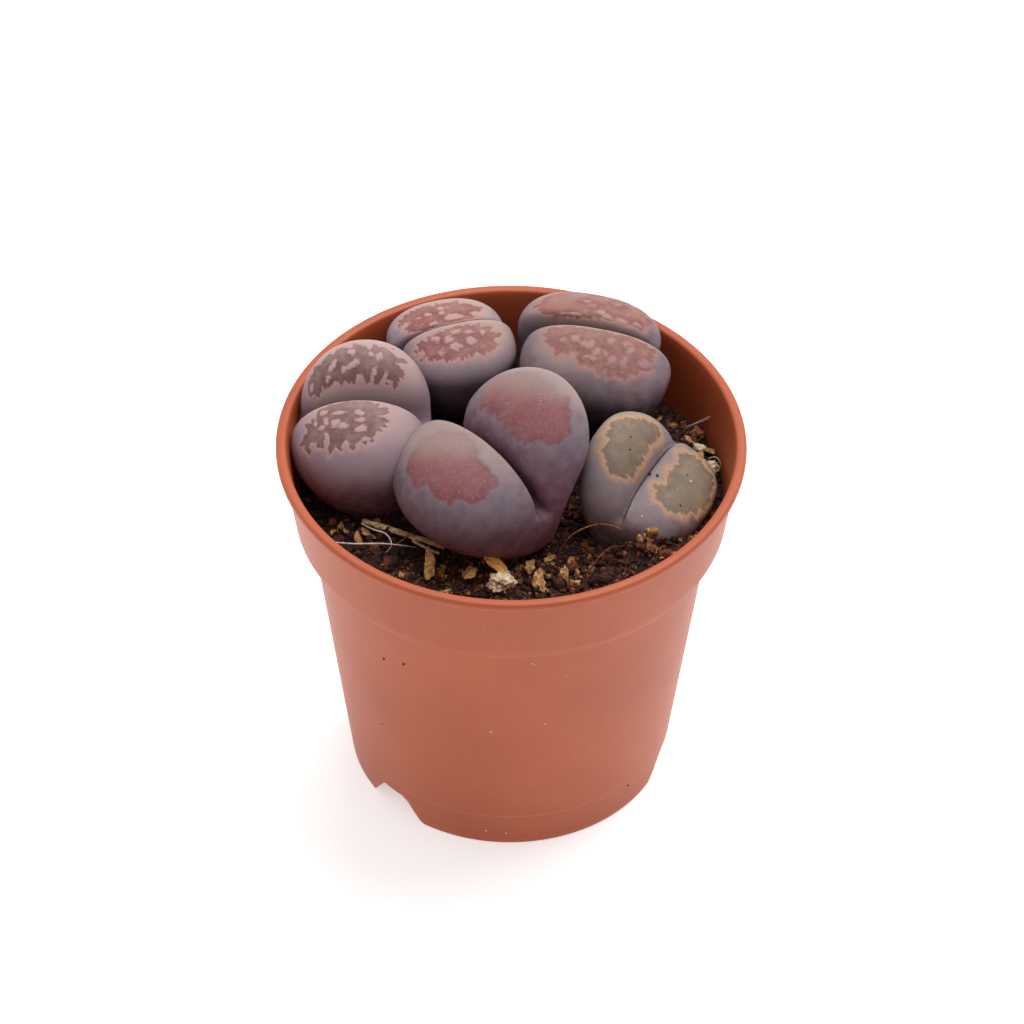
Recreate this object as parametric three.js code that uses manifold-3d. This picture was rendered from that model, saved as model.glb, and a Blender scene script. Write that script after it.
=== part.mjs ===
// A plastic nursery pot of living stones (lithops): the pot with its rolled rim, collar and notched
// foot, the potting soil that fills it, five plants that are each one pair of fused leaves, and the
// bits on the soil. Millimetres, +Z up. The origin is the centre of the foot's underside, and -Y
// faces the viewer.
import * as THREE from 'three';
import { ConvexGeometry } from 'three/addons/geometries/ConvexGeometry.js';
import { mergeVertices } from 'three/addons/utils/BufferGeometryUtils.js';
import Module from 'manifold-3d';

const wasm = await Module();
wasm.setup();

const { degToRad, lerp, mapLinear } = THREE.MathUtils;

// The pot: outside radii at the rim's bead, at the lower edge of the collar, at the top of the wall
// below it and at the foot. The ledge is the inside of the collar's step.
const POT_HEIGHT = 48;
const BEAD_RADIUS = 27.5;
const BEAD_HEIGHT = 1.0;
const BEAD_OVERHANG = 0.75;
const BEAD_ROUNDING = 0.3;
const LIP_WIDTH = 1.2;
const COLLAR_RADIUS = 25.4;
const COLLAR_BOTTOM = 37.5;
const WALL_TOP_RADIUS = 23.8;
const FOOT_RADIUS = 19;
const WALL = 0.7;
const FLOOR = 0.9;
const INNER_LEDGE = COLLAR_BOTTOM + WALL;
const POT_SIDES = 64;

// The skirt under the floor, its three drain notches (turned from the front) and the drain hole behind each.
const SKIRT_HEIGHT = 3.7;
const SKIRT_WALL = 1.0;
const NOTCH_WIDTH = 7.6;
const NOTCH_FLANK = 2.4;
const NOTCH_TURNS = [-45, 75, 195];
const DRAIN_RADIUS = 2.2;
const DRAIN_FROM_CENTRE = 14;

// The soil: its level, the height and spacing of its lumps, and the clearance that loose solids keep.
const SOIL_LEVEL = 39;
const SOIL_RINGS = 14;
const LUMP_HEIGHT = 1.1;
const LUMP_SPACING = 2.6;
const SEAT = 0.3;

// Facets round and from top to bottom of one leaf, how softly its inner face bends flat against the
// slit, and half the slit's width.
const LEAF_SIDES = 28;
const LEAF_RINGS = 17;
const SLIT_ROUNDING = 0.5;
const HALF_SLIT = 0.15;

// The plants. Each has its middle at x, y and its slit turned from +X. Its fullness is its roundness
// from crown to root (2 is an ellipsoid, more is flatter on top with fuller sides), and its waist is
// the share that it narrows by towards the root. Its foot is shifted from its middle, and below the
// height fused, over the soil, both leaves are one body. Of the leaf behind the slit and the one
// before it: the middle along the slit, out from the slit and up from the soil, the half length along
// the slit, the half thickness, the height over and the depth under the middle, and the lean away
// from the slit in degrees.
const PLANTS = [
  {
    name: 'lithops_left', colour: 0x7c6671,
    x: -17.2, y: 4.4, turn: 2, fullness: 2.4, waist: 0.3, foot: [3.5, -2.5], fused: 7,
    behind: { along: 0.2, out: 2.0, up: 7.9, length: 7.7, thick: 7.4, crown: 7.0, depth: 10.6, lean: 7 },
    before: { along: -1.4, out: 2.0, up: 6.8, length: 7.2, thick: 7.7, crown: 5.4, depth: 10.0, lean: 12 },
  },
  {
    name: 'lithops_back_left', colour: 0x7a6068,
    x: -7.1, y: 17.0, turn: 17, fullness: 2.4, waist: 0.3, foot: [1, -1], fused: 7,
    behind: { along: -0.4, out: 1.4, up: 8.6, length: 7.0, thick: 5.6, crown: 3.5, depth: 10.4, lean: 6 },
    before: { along: 0.4, out: 1.5, up: 8.8, length: 6.9, thick: 5.9, crown: 3.4, depth: 10.4, lean: 10 },
  },
  {
    name: 'lithops_back_right', colour: 0x80666a,
    x: 9.4, y: 14.7, turn: -14, fullness: 2.4, waist: 0.3, foot: [-2, -1], fused: 8,
    behind: { along: -1.0, out: 2.1, up: 9.9, length: 8.7, thick: 6.3, crown: 4.9, depth: 11.2, lean: 10 },
    before: { along: 1.1, out: 2.3, up: 10.0, length: 9.0, thick: 6.9, crown: 4.0, depth: 11.4, lean: 13 },
  },
  {
    name: 'lithops_centre', colour: 0x7d5f6e,
    x: -2.2, y: -4.2, turn: -47, fullness: 2.4, waist: 0.3, foot: [2.5, -2], fused: 8,
    behind: { along: -0.4, out: 4.8, up: 11.3, length: 7.2, thick: 8.1, crown: 6.9, depth: 13.4, lean: 3 },
    before: { along: -0.3, out: 4.0, up: 8.8, length: 9.1, thick: 7.6, crown: 5.4, depth: 10.8, lean: 20 },
  },
  {
    name: 'lithops_right', colour: 0x78726c,
    x: 16.3, y: -2.2, turn: 64, fullness: 3, waist: 0.05, foot: [-1.2, -0.8], fused: 4.5,
    behind: { along: 0.3, out: 1.0, up: 6.0, length: 6.7, thick: 6.8, crown: 5.0, depth: 9.4, lean: 14 },
    before: { along: -0.6, out: 1.0, up: 5.0, length: 6.8, thick: 7.0, crown: 4.4, depth: 9.2, lean: 14 },
  },
];

// The straws: the points that each runs through, and its radius.
const STRAWS = [
  {
    name: 'straw_front', colour: 0xb79a6e, radius: 0.32,
    path: [[-17.2, -5.6, 40.3], [-12.6, -7.9, 40.6], [-7.8, -10.2, 40.5]],
  },
  {
    name: 'straw_back', colour: 0xa98c7c, radius: 0.25,
    path: [[20.4, 11.2, 39.6], [22.2, 9.6, 42.0], [24.2, 7.2, 44.8]],
  },
];

// The flakes of husk and bark: middle, length, width and thickness, turn about +Z and tip up from
// lying flat.
const FLAKES = [
  {
    name: 'husk_front', colour: 0xb07a2c,
    at: [-1.9, -13.8, 41.0], size: [4.2, 1.7, 0.6], turn: -50, tip: 28,
  },
  {
    name: 'bark_upright', colour: 0x6f4f2c,
    at: [-9.3, -13.2, 40.8], size: [3.8, 1.6, 0.9], turn: 80, tip: 68,
  },
  {
    name: 'bark_front', colour: 0x9a6f2e,
    at: [2.4, -13.2, 40.0], size: [2.2, 1.3, 0.8], turn: 70, tip: 40,
  },
  {
    name: 'bark_left', colour: 0x8a6a30,
    at: [-4.6, -14.4, 39.8], size: [2.1, 1.5, 0.8], turn: 15, tip: 20,
  },
  {
    name: 'bark_right', colour: 0x94682c,
    at: [6.6, -14.6, 39.9], size: [1.9, 1.2, 0.8], turn: 110, tip: 45,
  },
];

// The lumps of perlite and bark: middle, radius, and the share of the radius that knocks have taken off.
const LUMP_KNOCKS = 0.22;
const LUMPS = [
  { name: 'perlite_front', colour: 0xb9a488, at: [-1.0, -16.2, 39.9], radius: 1.25, seed: 2 },
  { name: 'crumb_back', colour: 0xb99a5c, at: [21.6, 7.6, 39.9], radius: 1.0, seed: 5 },
  { name: 'crumb_right', colour: 0xc0a05e, at: [23.0, 3.4, 39.8], radius: 1.0, seed: 9 },
];

// A closed geometry as a solid: shared corners are merged, collapsed triangles dropped and all faces
// turned out.
function toSolid(geometry) {
  const bare = geometry.clone();
  bare.deleteAttribute('normal');
  bare.deleteAttribute('uv');
  const merged = mergeVertices(bare, 1e-4);
  const index = merged.index.array;
  const triangles = [];
  for (let i = 0; i < index.length; i += 3) {
    const [a, b, c] = [index[i], index[i + 1], index[i + 2]];
    if (a !== b && b !== c && c !== a) triangles.push([a, b, c]);
  }
  const build = (faces) => new wasm.Manifold(new wasm.Mesh({
    numProp: 3,
    vertProperties: new Float32Array(merged.attributes.position.array),
    triVerts: new Uint32Array(faces.flat()),
  }));
  const solid = build(triangles);
  return solid.volume() > 0 ? solid : build(triangles.map(([a, b, c]) => [a, c, b]));
}

// A solid back as the geometry of a mesh.
function toGeometry(solid) {
  const mesh = solid.getMesh();
  const geometry = new THREE.BufferGeometry();
  geometry.setAttribute('position', new THREE.BufferAttribute(new Float32Array(mesh.vertProperties), 3));
  geometry.setIndex(new THREE.BufferAttribute(new Uint32Array(mesh.triVerts), 1));
  geometry.computeVertexNormals();
  return geometry;
}

// The radius of the pot's outside at a height, on the wall and on the collar above it.
function wallRadius(height) {
  return mapLinear(height, 0, COLLAR_BOTTOM, FOOT_RADIUS, WALL_TOP_RADIUS);
}

function collarRadius(height) {
  const beadBottom = POT_HEIGHT - BEAD_HEIGHT;
  return mapLinear(height, COLLAR_BOTTOM, beadBottom, COLLAR_RADIUS, BEAD_RADIUS - BEAD_OVERHANG);
}

// A profile of radius and height pairs turned round the pot's axis.
function turnedProfile(profile) {
  const points = profile.map(([radius, height]) => new THREE.Vector2(radius, height));
  return new THREE.LatheGeometry(points, POT_SIDES).rotateX(Math.PI / 2);
}

// The pot: from under the floor out to the foot, up to the bead, over the lip and down the inside to
// the floor.
function potSolid() {
  const beadBottom = POT_HEIGHT - BEAD_HEIGHT;
  const lipInner = BEAD_RADIUS - LIP_WIDTH;
  const floorTop = SKIRT_HEIGHT + FLOOR;
  let pot = toSolid(turnedProfile([
    [0, SKIRT_HEIGHT],
    [FOOT_RADIUS - SKIRT_WALL, SKIRT_HEIGHT],
    [FOOT_RADIUS - SKIRT_WALL, 0],
    [FOOT_RADIUS, 0],
    [wallRadius(SKIRT_HEIGHT), SKIRT_HEIGHT],
    [WALL_TOP_RADIUS, COLLAR_BOTTOM],
    [COLLAR_RADIUS - BEAD_ROUNDING, COLLAR_BOTTOM],
    [COLLAR_RADIUS, COLLAR_BOTTOM + BEAD_ROUNDING],
    [collarRadius(beadBottom), beadBottom],
    [BEAD_RADIUS - BEAD_ROUNDING, beadBottom],
    [BEAD_RADIUS, beadBottom + BEAD_ROUNDING],
    [BEAD_RADIUS, POT_HEIGHT - BEAD_ROUNDING],
    [BEAD_RADIUS - BEAD_ROUNDING, POT_HEIGHT],
    [lipInner + BEAD_ROUNDING, POT_HEIGHT],
    [lipInner, POT_HEIGHT - BEAD_ROUNDING],
    [collarRadius(beadBottom) - WALL, beadBottom - BEAD_ROUNDING],
    [COLLAR_RADIUS - WALL, INNER_LEDGE],
    [WALL_TOP_RADIUS - WALL, INNER_LEDGE - BEAD_ROUNDING],
    [wallRadius(floorTop) - WALL, floorTop],
    [0, floorTop],
  ]));
  for (const turn of NOTCH_TURNS) {
    pot = pot.subtract(toSolid(notchCutter().rotateZ(degToRad(turn))));
    pot = pot.subtract(toSolid(drainCutter().rotateZ(degToRad(turn))));
  }
  return pot;
}

// The low arch that is cut through the skirt at the front: flat on top, with flanks that run out in a curve.
function notchCutter() {
  const top = SKIRT_HEIGHT - 0.1;
  const half = NOTCH_WIDTH / 2;
  const shoulder = half - NOTCH_FLANK;
  const flankMiddle = half - NOTCH_FLANK / 3;
  const foot = half + NOTCH_FLANK / 4;
  const arch = new THREE.Shape();
  arch.moveTo(-foot, -1);
  arch.lineTo(-foot, 0);
  arch.quadraticCurveTo(-half, top / 6, -flankMiddle, top / 2);
  arch.quadraticCurveTo(-shoulder - NOTCH_FLANK / 3, top, -shoulder, top);
  arch.lineTo(shoulder, top);
  arch.quadraticCurveTo(shoulder + NOTCH_FLANK / 3, top, flankMiddle, top / 2);
  arch.quadraticCurveTo(half, top / 6, foot, 0);
  arch.lineTo(foot, -1);
  const reach = 6;
  const cutter = new THREE.ExtrudeGeometry(arch, { depth: reach, bevelEnabled: false, curveSegments: 4 });
  return cutter.rotateX(Math.PI / 2).translate(0, reach / 2 - FOOT_RADIUS, 0);
}

function drainCutter() {
  const hole = new THREE.CylinderGeometry(DRAIN_RADIUS, DRAIN_RADIUS, 4 * FLOOR, 16).rotateX(Math.PI / 2);
  return hole.translate(0, -DRAIN_FROM_CENTRE, SKIRT_HEIGHT + FLOOR / 2);
}

// A repeatable number from 0 to 1 for each point of a lattice, and a smooth mix of the four round a place.
function latticeValue(column, row, seed) {
  const mixed = Math.sin(column * 127.1 + row * 311.7 + seed * 74.7) * 43758.5453;
  return mixed - Math.floor(mixed);
}

function lumpAt(x, y, spacing, seed) {
  const [column, row] = [Math.floor(x / spacing), Math.floor(y / spacing)];
  const ease = (t) => t * t * (3 - 2 * t);
  const [u, v] = [ease(x / spacing - column), ease(y / spacing - row)];
  const value = (right, up) => latticeValue(column + right, row + up, seed);
  return lerp(lerp(value(0, 0), value(1, 0), u), lerp(value(0, 1), value(1, 1), u), v);
}

// The height of the soil at a place: broad swells with crumbs on them, never down to the pot's inner ledge.
function soilHeight(x, y) {
  const swell = lumpAt(x, y, LUMP_SPACING * 2.4, 3) - 0.5;
  const crumb = lumpAt(x, y, LUMP_SPACING, 11) - 0.5;
  return Math.max(SOIL_LEVEL + LUMP_HEIGHT * (swell + 0.9 * crumb), INNER_LEDGE + 2 * SEAT);
}

// The soil: it fills the pot from the floor up, and its top is raised into lumps.
function soilSolid() {
  const clearance = WALL + SEAT + 0.1;
  const bottom = SKIRT_HEIGHT + FLOOR + SEAT;
  const edge = collarRadius(SOIL_LEVEL) - clearance;
  const profile = [
    [0, bottom],
    [wallRadius(bottom) - clearance, bottom],
    [WALL_TOP_RADIUS - clearance, INNER_LEDGE + SEAT],
    [COLLAR_RADIUS - clearance, INNER_LEDGE + SEAT],
  ];
  for (let ring = SOIL_RINGS; ring >= 0; ring -= 1) profile.push([edge * ring / SOIL_RINGS, SOIL_LEVEL]);
  const geometry = turnedProfile(profile);
  const places = geometry.attributes.position;
  for (let i = 0; i < places.count; i += 1) {
    if (places.getZ(i) > SOIL_LEVEL - 0.01) places.setZ(i, soilHeight(places.getX(i), places.getY(i)));
  }
  return toSolid(geometry);
}

// How much wider than a sphere a plant's leaf is at a height from -1 to 1.
function girth(plant, height) {
  const z = Math.abs(height);
  const drawnIn = 1 - plant.waist * Math.pow(Math.max(0, -height), 1.5);
  if (z > 0.9999) return drawnIn;
  return drawnIn * Math.pow(1 - Math.pow(z, plant.fullness), 1 / plant.fullness) / Math.sqrt(1 - z * z);
}

// One leaf where it stands in the pot, behind the slit (side 1) or before it (side -1). A unit sphere is
// stretched, filled out and leaned outwards, its inner face is pressed flat against the slit, and its lower end
// is drawn towards the plant's foot. grown makes it larger all round, for the hole that it stands in.
function leafGeometry(plant, leaf, side, grown) {
  const sphere = new THREE.SphereGeometry(1, LEAF_SIDES, LEAF_RINGS).rotateX(Math.PI / 2);
  const places = sphere.attributes.position;
  const lean = degToRad(leaf.lean);
  const turn = degToRad(plant.turn);
  const slit = HALF_SLIT - grown;
  for (let i = 0; i < places.count; i += 1) {
    const [x, y, z] = [places.getX(i), places.getY(i), places.getZ(i)];
    const width = girth(plant, z);
    const along = leaf.along + (leaf.length + grown) * x * width;
    const across = (leaf.thick + grown) * y * width;
    const height = z * (z > 0 ? leaf.crown + grown : leaf.depth + grown);
    const out = leaf.out + across * Math.cos(lean) + height * Math.sin(lean);
    const up = leaf.up - across * Math.sin(lean) + height * Math.cos(lean);
    const pressed = side * (slit + SLIT_ROUNDING * Math.log1p(Math.exp((out - slit) / SLIT_ROUNDING)));
    const drawn = Math.pow(Math.max(0, -z), 1.3);
    places.setXYZ(
      i,
      plant.x + along * Math.cos(turn) - pressed * Math.sin(turn) + plant.foot[0] * drawn,
      plant.y + along * Math.sin(turn) + pressed * Math.cos(turn) + plant.foot[1] * drawn,
      SOIL_LEVEL + up,
    );
  }
  return sphere;
}

// The body below the ends of the slit, where the skin runs on from one leaf to the other.
function bodyGeometry(leaves, fused) {
  const low = [];
  for (const leaf of leaves) {
    const places = leaf.attributes.position;
    for (let i = 0; i < places.count; i += 1) {
      const place = new THREE.Vector3().fromBufferAttribute(places, i);
      if (place.z < SOIL_LEVEL + fused) low.push(place);
    }
  }
  return new ConvexGeometry(low);
}

// A whole plant, both leaves and the body that joins them, in one solid.
function plantSolid(plant, grown) {
  const leaves = [
    leafGeometry(plant, plant.behind, 1, grown),
    leafGeometry(plant, plant.before, -1, grown),
  ];
  const parts = [...leaves, bodyGeometry(leaves, plant.fused)];
  return parts.map(toSolid).reduce((whole, part) => whole.add(part));
}

// A straw: a six-sided rod that bends gently through the points of its path.
function strawSolid(straw, grown) {
  const curve = new THREE.CatmullRomCurve3(straw.path.map((point) => new THREE.Vector3(...point)));
  const radius = straw.radius + grown;
  const corners = Array.from({ length: 6 }, (_, side) => side * Math.PI / 3);
  const section = new THREE.Shape(corners.map((angle) => (
    new THREE.Vector2(radius * Math.cos(angle), radius * Math.sin(angle))
  )));
  return toSolid(new THREE.ExtrudeGeometry(section, { steps: 6, bevelEnabled: false, extrudePath: curve }));
}

// A flake: a seven-sided plate, a little narrower underneath.
function flakeSolid(flake, grown) {
  const [length, width, thickness] = flake.size.map((size) => size + 2 * grown);
  const plate = new THREE.CylinderGeometry(0.5, 0.42, 1, 7).rotateX(Math.PI / 2);
  plate.scale(length, width, thickness);
  plate.rotateY(-degToRad(flake.tip));
  plate.rotateZ(degToRad(flake.turn));
  return toSolid(plate.translate(...flake.at));
}

// A lump: a ball with each corner knocked in by its own amount.
function lumpSolid(lump, grown) {
  const ball = new THREE.IcosahedronGeometry(1, 1);
  const places = ball.attributes.position;
  for (let i = 0; i < places.count; i += 1) {
    const place = new THREE.Vector3().fromBufferAttribute(places, i);
    const knock = latticeValue(Math.round(place.x * 9), Math.round(place.y * 9 + place.z * 31), lump.seed);
    place.multiplyScalar(lump.radius * (1 - LUMP_KNOCKS * knock) + grown);
    places.setXYZ(i, place.x + lump.at[0], place.y + lump.at[1], place.z + lump.at[2]);
  }
  return toSolid(ball);
}

const pottedPlants = new THREE.Group();

function addPiece(name, solid, colour, roughness) {
  const material = new THREE.MeshStandardMaterial({ color: colour, roughness, metalness: 0 });
  const piece = new THREE.Mesh(toGeometry(solid), material);
  piece.name = name;
  pottedPlants.add(piece);
}

addPiece('pot', potSolid(), 0xb1634c, 0.45);

// Every piece in or on the soil leaves its own print there, larger than itself by the clearance.
let soil = soilSolid();
function addInSoil(pieces, solidOf, roughness) {
  for (const piece of pieces) {
    addPiece(piece.name, solidOf(piece, 0), piece.colour, roughness);
    soil = soil.subtract(solidOf(piece, SEAT));
  }
}

addInSoil(PLANTS, plantSolid, 0.6);
addInSoil(STRAWS, strawSolid, 0.8);
addInSoil(FLAKES, flakeSolid, 0.85);
addInSoil(LUMPS, lumpSolid, 0.9);
addPiece('soil', soil, 0x2a1c18, 0.95);

export default pottedPlants;
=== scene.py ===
import math
import random

import bmesh
import bpy
from mathutils import Matrix, Vector, noise
from mathutils.bvhtree import BVHTree


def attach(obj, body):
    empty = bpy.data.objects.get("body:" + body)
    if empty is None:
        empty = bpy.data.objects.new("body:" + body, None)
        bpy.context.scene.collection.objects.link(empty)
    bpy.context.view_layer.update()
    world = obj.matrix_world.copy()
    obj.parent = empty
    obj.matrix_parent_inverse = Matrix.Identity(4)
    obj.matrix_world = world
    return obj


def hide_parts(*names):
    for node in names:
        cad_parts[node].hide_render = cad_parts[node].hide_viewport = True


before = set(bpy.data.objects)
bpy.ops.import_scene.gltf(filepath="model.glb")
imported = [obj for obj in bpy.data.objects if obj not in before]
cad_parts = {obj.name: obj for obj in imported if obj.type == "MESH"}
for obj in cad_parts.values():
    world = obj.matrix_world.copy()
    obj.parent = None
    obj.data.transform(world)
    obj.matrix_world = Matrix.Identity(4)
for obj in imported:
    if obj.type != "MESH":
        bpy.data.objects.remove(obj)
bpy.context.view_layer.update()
scene = bpy.context.scene

# Camera: a long lens, 80 cm away and 44 degrees over the table, that looks straight at the front of
# the pot. It leans half a degree to one side, as the photograph does.
CAMERA_ELEVATION = math.radians(43.71)
CAMERA_ROLL = math.radians(0.48)
CAMERA_DISTANCE = 0.8
CAMERA_AIM = Vector((0, 0, 0.03657))

camera_data = bpy.data.cameras.new("camera")
camera_data.sensor_width = 36
camera_data.lens = 238.7
camera_data.shift_x = 0.00127
camera_data.clip_start = 0.05
camera = bpy.data.objects.new("camera", camera_data)
away = Vector((0, -math.cos(CAMERA_ELEVATION), math.sin(CAMERA_ELEVATION)))
tilt = Matrix.Rotation(math.pi / 2 - CAMERA_ELEVATION, 4, "X") @ Matrix.Rotation(CAMERA_ROLL, 4, "Z")
camera.matrix_world = Matrix.Translation(CAMERA_AIM + CAMERA_DISTANCE * away) @ tilt
scene.collection.objects.link(camera)
scene.camera = camera


# Table and light: a plain white sweep under a white sky that is brighter behind and to the left, with
# one large soft lamp high over the back right, so that the pot's shadow is wide and faint.
def tone(code):
    """A colour written as in a paint chart (0xRRGGBB), in the linear values that light adds up in."""
    parts = [(code >> shift & 255) / 255 for shift in (16, 8, 0)]
    linear = [c / 12.92 if c <= 0.04045 else ((c + 0.055) / 1.055) ** 2.4 for c in parts]
    return (*linear, 1)


def feed(tree, socket, value):
    """Set an input to a value, or link it to the socket that feeds it."""
    if isinstance(value, bpy.types.NodeSocket):
        tree.links.new(value, socket)
    else:
        socket.default_value = value


def put(tree, kind, settings=None, inputs=None):
    """A new node in a shader tree. An input is a value, or the socket that feeds it."""
    node = tree.nodes.new("ShaderNode" + kind)
    for name, value in (settings or {}).items():
        setattr(node, name, value)
    for name, value in (inputs or {}).items():
        feed(tree, node.inputs[name], value)
    return node


def new_material(name):
    """A new material, and its tree with one Principled shader."""
    material = bpy.data.materials.new(name)
    material.use_nodes = True
    return material, material.node_tree


def dress(tree, inputs, height=None, strength=1.0, relief=0.0):
    """Fill in a material's shader. A height stands out as bumps, up to the relief, in metres."""
    shader = tree.nodes["Principled BSDF"]
    for name, value in inputs.items():
        feed(tree, shader.inputs[name], value)
    if height is not None:
        bump = put(tree, "Bump", None, {"Strength": strength, "Distance": relief, "Height": height})
        tree.links.new(bump.outputs["Normal"], shader.inputs["Normal"])


def mesh_of(bm, name):
    """A finished mesh out of one under construction."""
    mesh = bpy.data.meshes.new(name)
    bm.to_mesh(mesh)
    bm.free()
    return mesh


TABLE_HALF_SIZE = 2.5
table_mesh = bmesh.new()
bmesh.ops.create_grid(table_mesh, x_segments=1, y_segments=1, size=TABLE_HALF_SIZE)
table = bpy.data.objects.new("table", mesh_of(table_mesh, "table"))
scene.collection.objects.link(table)
table_white, tree = new_material("table_white")
dress(tree, {
    "Base Color": (0.85, 0.85, 0.85, 1), "Roughness": 0.9, "Specular IOR Level": 0.2,
    "Emission Color": (1, 1, 1, 1), "Emission Strength": 0.5,
})
table.data.materials.append(table_white)

scene.view_settings.view_transform = "Standard"
world = bpy.data.worlds.new("white sky")
world.use_nodes = True
sky = world.node_tree
background = sky.nodes["Background"].inputs
background["Color"].default_value = (1, 1, 1, 1)
BRIGHT_SIDE = (-0.3, 0.9, 0.3)
towards = put(sky, "VectorMath", {"operation": "DOT_PRODUCT"}, {
    0: put(sky, "TexCoord").outputs["Generated"], 1: BRIGHT_SIDE,
}).outputs["Value"]
brightness = put(sky, "MapRange", None, {
    "Value": towards, "From Min": -0.8, "From Max": 0.6, "To Min": 0.34, "To Max": 0.8,
})
sky.links.new(brightness.outputs["Result"], background["Strength"])
scene.world = world

lamp_data = bpy.data.lights.new("soft_lamp", "AREA")
lamp_data.shape = "DISK"
lamp_data.size = 0.8
lamp_data.energy = 7.5
lamp = bpy.data.objects.new("soft_lamp", lamp_data)
lamp_place = Vector((0.20, 0.28, 0.80))
lamp_turn = lamp_place.to_track_quat("Z", "Y").to_matrix().to_4x4()
lamp.matrix_world = Matrix.Translation(lamp_place) @ lamp_turn
scene.collection.objects.link(lamp)


# Pot: a nursery pot of thin brick-coloured polypropylene, moulded in one shot. A collar with a
# rolled bead stiffens the rim, and the skirt under the floor has three drain notches.
MM = 0.001
BEAD_RADIUS = 27.5
BEAD_HEIGHT = 1.0
BEAD_OVERHANG = 0.75
LIP_WIDTH = 1.2
POT_HEIGHT = 48.0
COLLAR_RADIUS = 25.4
COLLAR_BOTTOM = 37.5
WALL_TOP_RADIUS = 23.8
FOOT_RADIUS = 19.0
WALL = 0.7
FLOOR = 0.9
SKIRT_HEIGHT = 3.7
SKIRT_WALL = 1.0
INNER_LEDGE = COLLAR_BOTTOM + WALL
NOTCH_WIDTH = 7.6
NOTCH_TURNS = (-45, 75, 195)
DRAIN_RADIUS = 2.2
DRAIN_FROM_CENTRE = 14.0
POT_SIDES = 192
LONGEST_EDGE = 1.5
ON_RING = 0.01


def wall_radius(height):
    """The outside radius of the wall under the collar."""
    return FOOT_RADIUS + (WALL_TOP_RADIUS - FOOT_RADIUS) * height / COLLAR_BOTTOM


def collar_radius(height):
    """The outside radius of the collar under its bead."""
    share = (height - COLLAR_BOTTOM) / (POT_HEIGHT - BEAD_HEIGHT - COLLAR_BOTTOM)
    return COLLAR_RADIUS + (BEAD_RADIUS - BEAD_OVERHANG - COLLAR_RADIUS) * share


def finished_piece(name, mesh, material, slot, *nodes, smooth=True):
    """A mesh in millimetres as a piece of the model, where it stands, instead of its plain solids."""
    mesh.transform(Matrix.Scale(MM, 4))
    mesh.materials.clear()
    mesh.materials.append(material)
    if smooth:
        mesh.shade_smooth()
    piece = bpy.data.objects.new(name, mesh)
    scene.collection.objects.link(piece)
    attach(piece, "root")
    if nodes:
        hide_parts(*nodes)
    return piece


def with_modifiers(mesh, modifiers, groups=()):
    """A copy of a mesh with modifiers applied: each is its kind and its settings."""
    rough = bpy.data.objects.new("rough", mesh)
    for name in groups:
        rough.vertex_groups.new(name=name)
    scene.collection.objects.link(rough)
    for kind, settings in modifiers:
        modifier = rough.modifiers.new(kind.lower(), kind)
        for name, value in settings.items():
            setattr(modifier, name, value)
    depsgraph = bpy.context.evaluated_depsgraph_get()
    result = bpy.data.meshes.new_from_object(rough.evaluated_get(depsgraph))
    bpy.data.objects.remove(rough)
    return result


def surface_of(mesh):
    """A search tree of a mesh's faces, to find the nearest place on it."""
    solid = bmesh.new()
    solid.from_mesh(mesh)
    tree = BVHTree.FromBMesh(solid)
    solid.free()
    return tree


def turned(profile, sides):
    """A closed shell: a profile of radius and height pairs, spun round the pot's axis."""
    bm = bmesh.new()
    verts = [bm.verts.new((radius, 0, height)) for radius, height in profile]
    edges = [bm.edges.new(pair) for pair in zip(verts, verts[1:])]
    for edge in edges:
        cuts = int(edge.calc_length() / LONGEST_EDGE)
        if cuts:
            bmesh.ops.subdivide_edges(bm, edges=[edge], cuts=cuts)
    bmesh.ops.spin(
        bm, geom=bm.verts[:] + bm.edges[:], axis=(0, 0, 1), cent=(0, 0, 0),
        angle=2 * math.pi, steps=sides, use_merge=True,
    )
    bmesh.ops.remove_doubles(bm, verts=bm.verts, dist=1e-5)
    bmesh.ops.recalc_face_normals(bm, faces=bm.faces)
    return bm


def ring_edges(bm, radius, height):
    """The edges of one ring of a turned shell."""
    def on_ring(vert):
        return abs(vert.co.xy.length - radius) < ON_RING and abs(vert.co.z - height) < ON_RING
    return [edge for edge in bm.edges if on_ring(edge.verts[0]) and on_ring(edge.verts[1])]


bead_bottom = POT_HEIGHT - BEAD_HEIGHT
floor_top = SKIRT_HEIGHT + FLOOR
pot_profile = [
    (0, SKIRT_HEIGHT),
    (FOOT_RADIUS - SKIRT_WALL, SKIRT_HEIGHT),
    (FOOT_RADIUS - SKIRT_WALL, 0),
    (FOOT_RADIUS, 0),
    (wall_radius(SKIRT_HEIGHT), SKIRT_HEIGHT),
    (WALL_TOP_RADIUS, COLLAR_BOTTOM),
    (COLLAR_RADIUS, COLLAR_BOTTOM),
    (collar_radius(bead_bottom), bead_bottom),
    (BEAD_RADIUS, bead_bottom),
    (BEAD_RADIUS, POT_HEIGHT),
    (BEAD_RADIUS - LIP_WIDTH, POT_HEIGHT),
    (collar_radius(bead_bottom) - WALL, bead_bottom - 0.2),
    (COLLAR_RADIUS - WALL, INNER_LEDGE),
    (WALL_TOP_RADIUS - WALL, INNER_LEDGE - 0.3),
    (wall_radius(floor_top) - WALL, floor_top),
    (0, floor_top),
]
pot_mesh = turned(pot_profile, POT_SIDES)
POT_ROUNDINGS = {
    (BEAD_RADIUS, bead_bottom): 0.3,
    (BEAD_RADIUS, POT_HEIGHT): 0.4,
    (BEAD_RADIUS - LIP_WIDTH, POT_HEIGHT): 0.3,
    (COLLAR_RADIUS, COLLAR_BOTTOM): 0.3,
    (FOOT_RADIUS, 0): 0.2,
    (FOOT_RADIUS - SKIRT_WALL, 0): 0.2,
    (COLLAR_RADIUS - WALL, INNER_LEDGE): 0.2,
}
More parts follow.
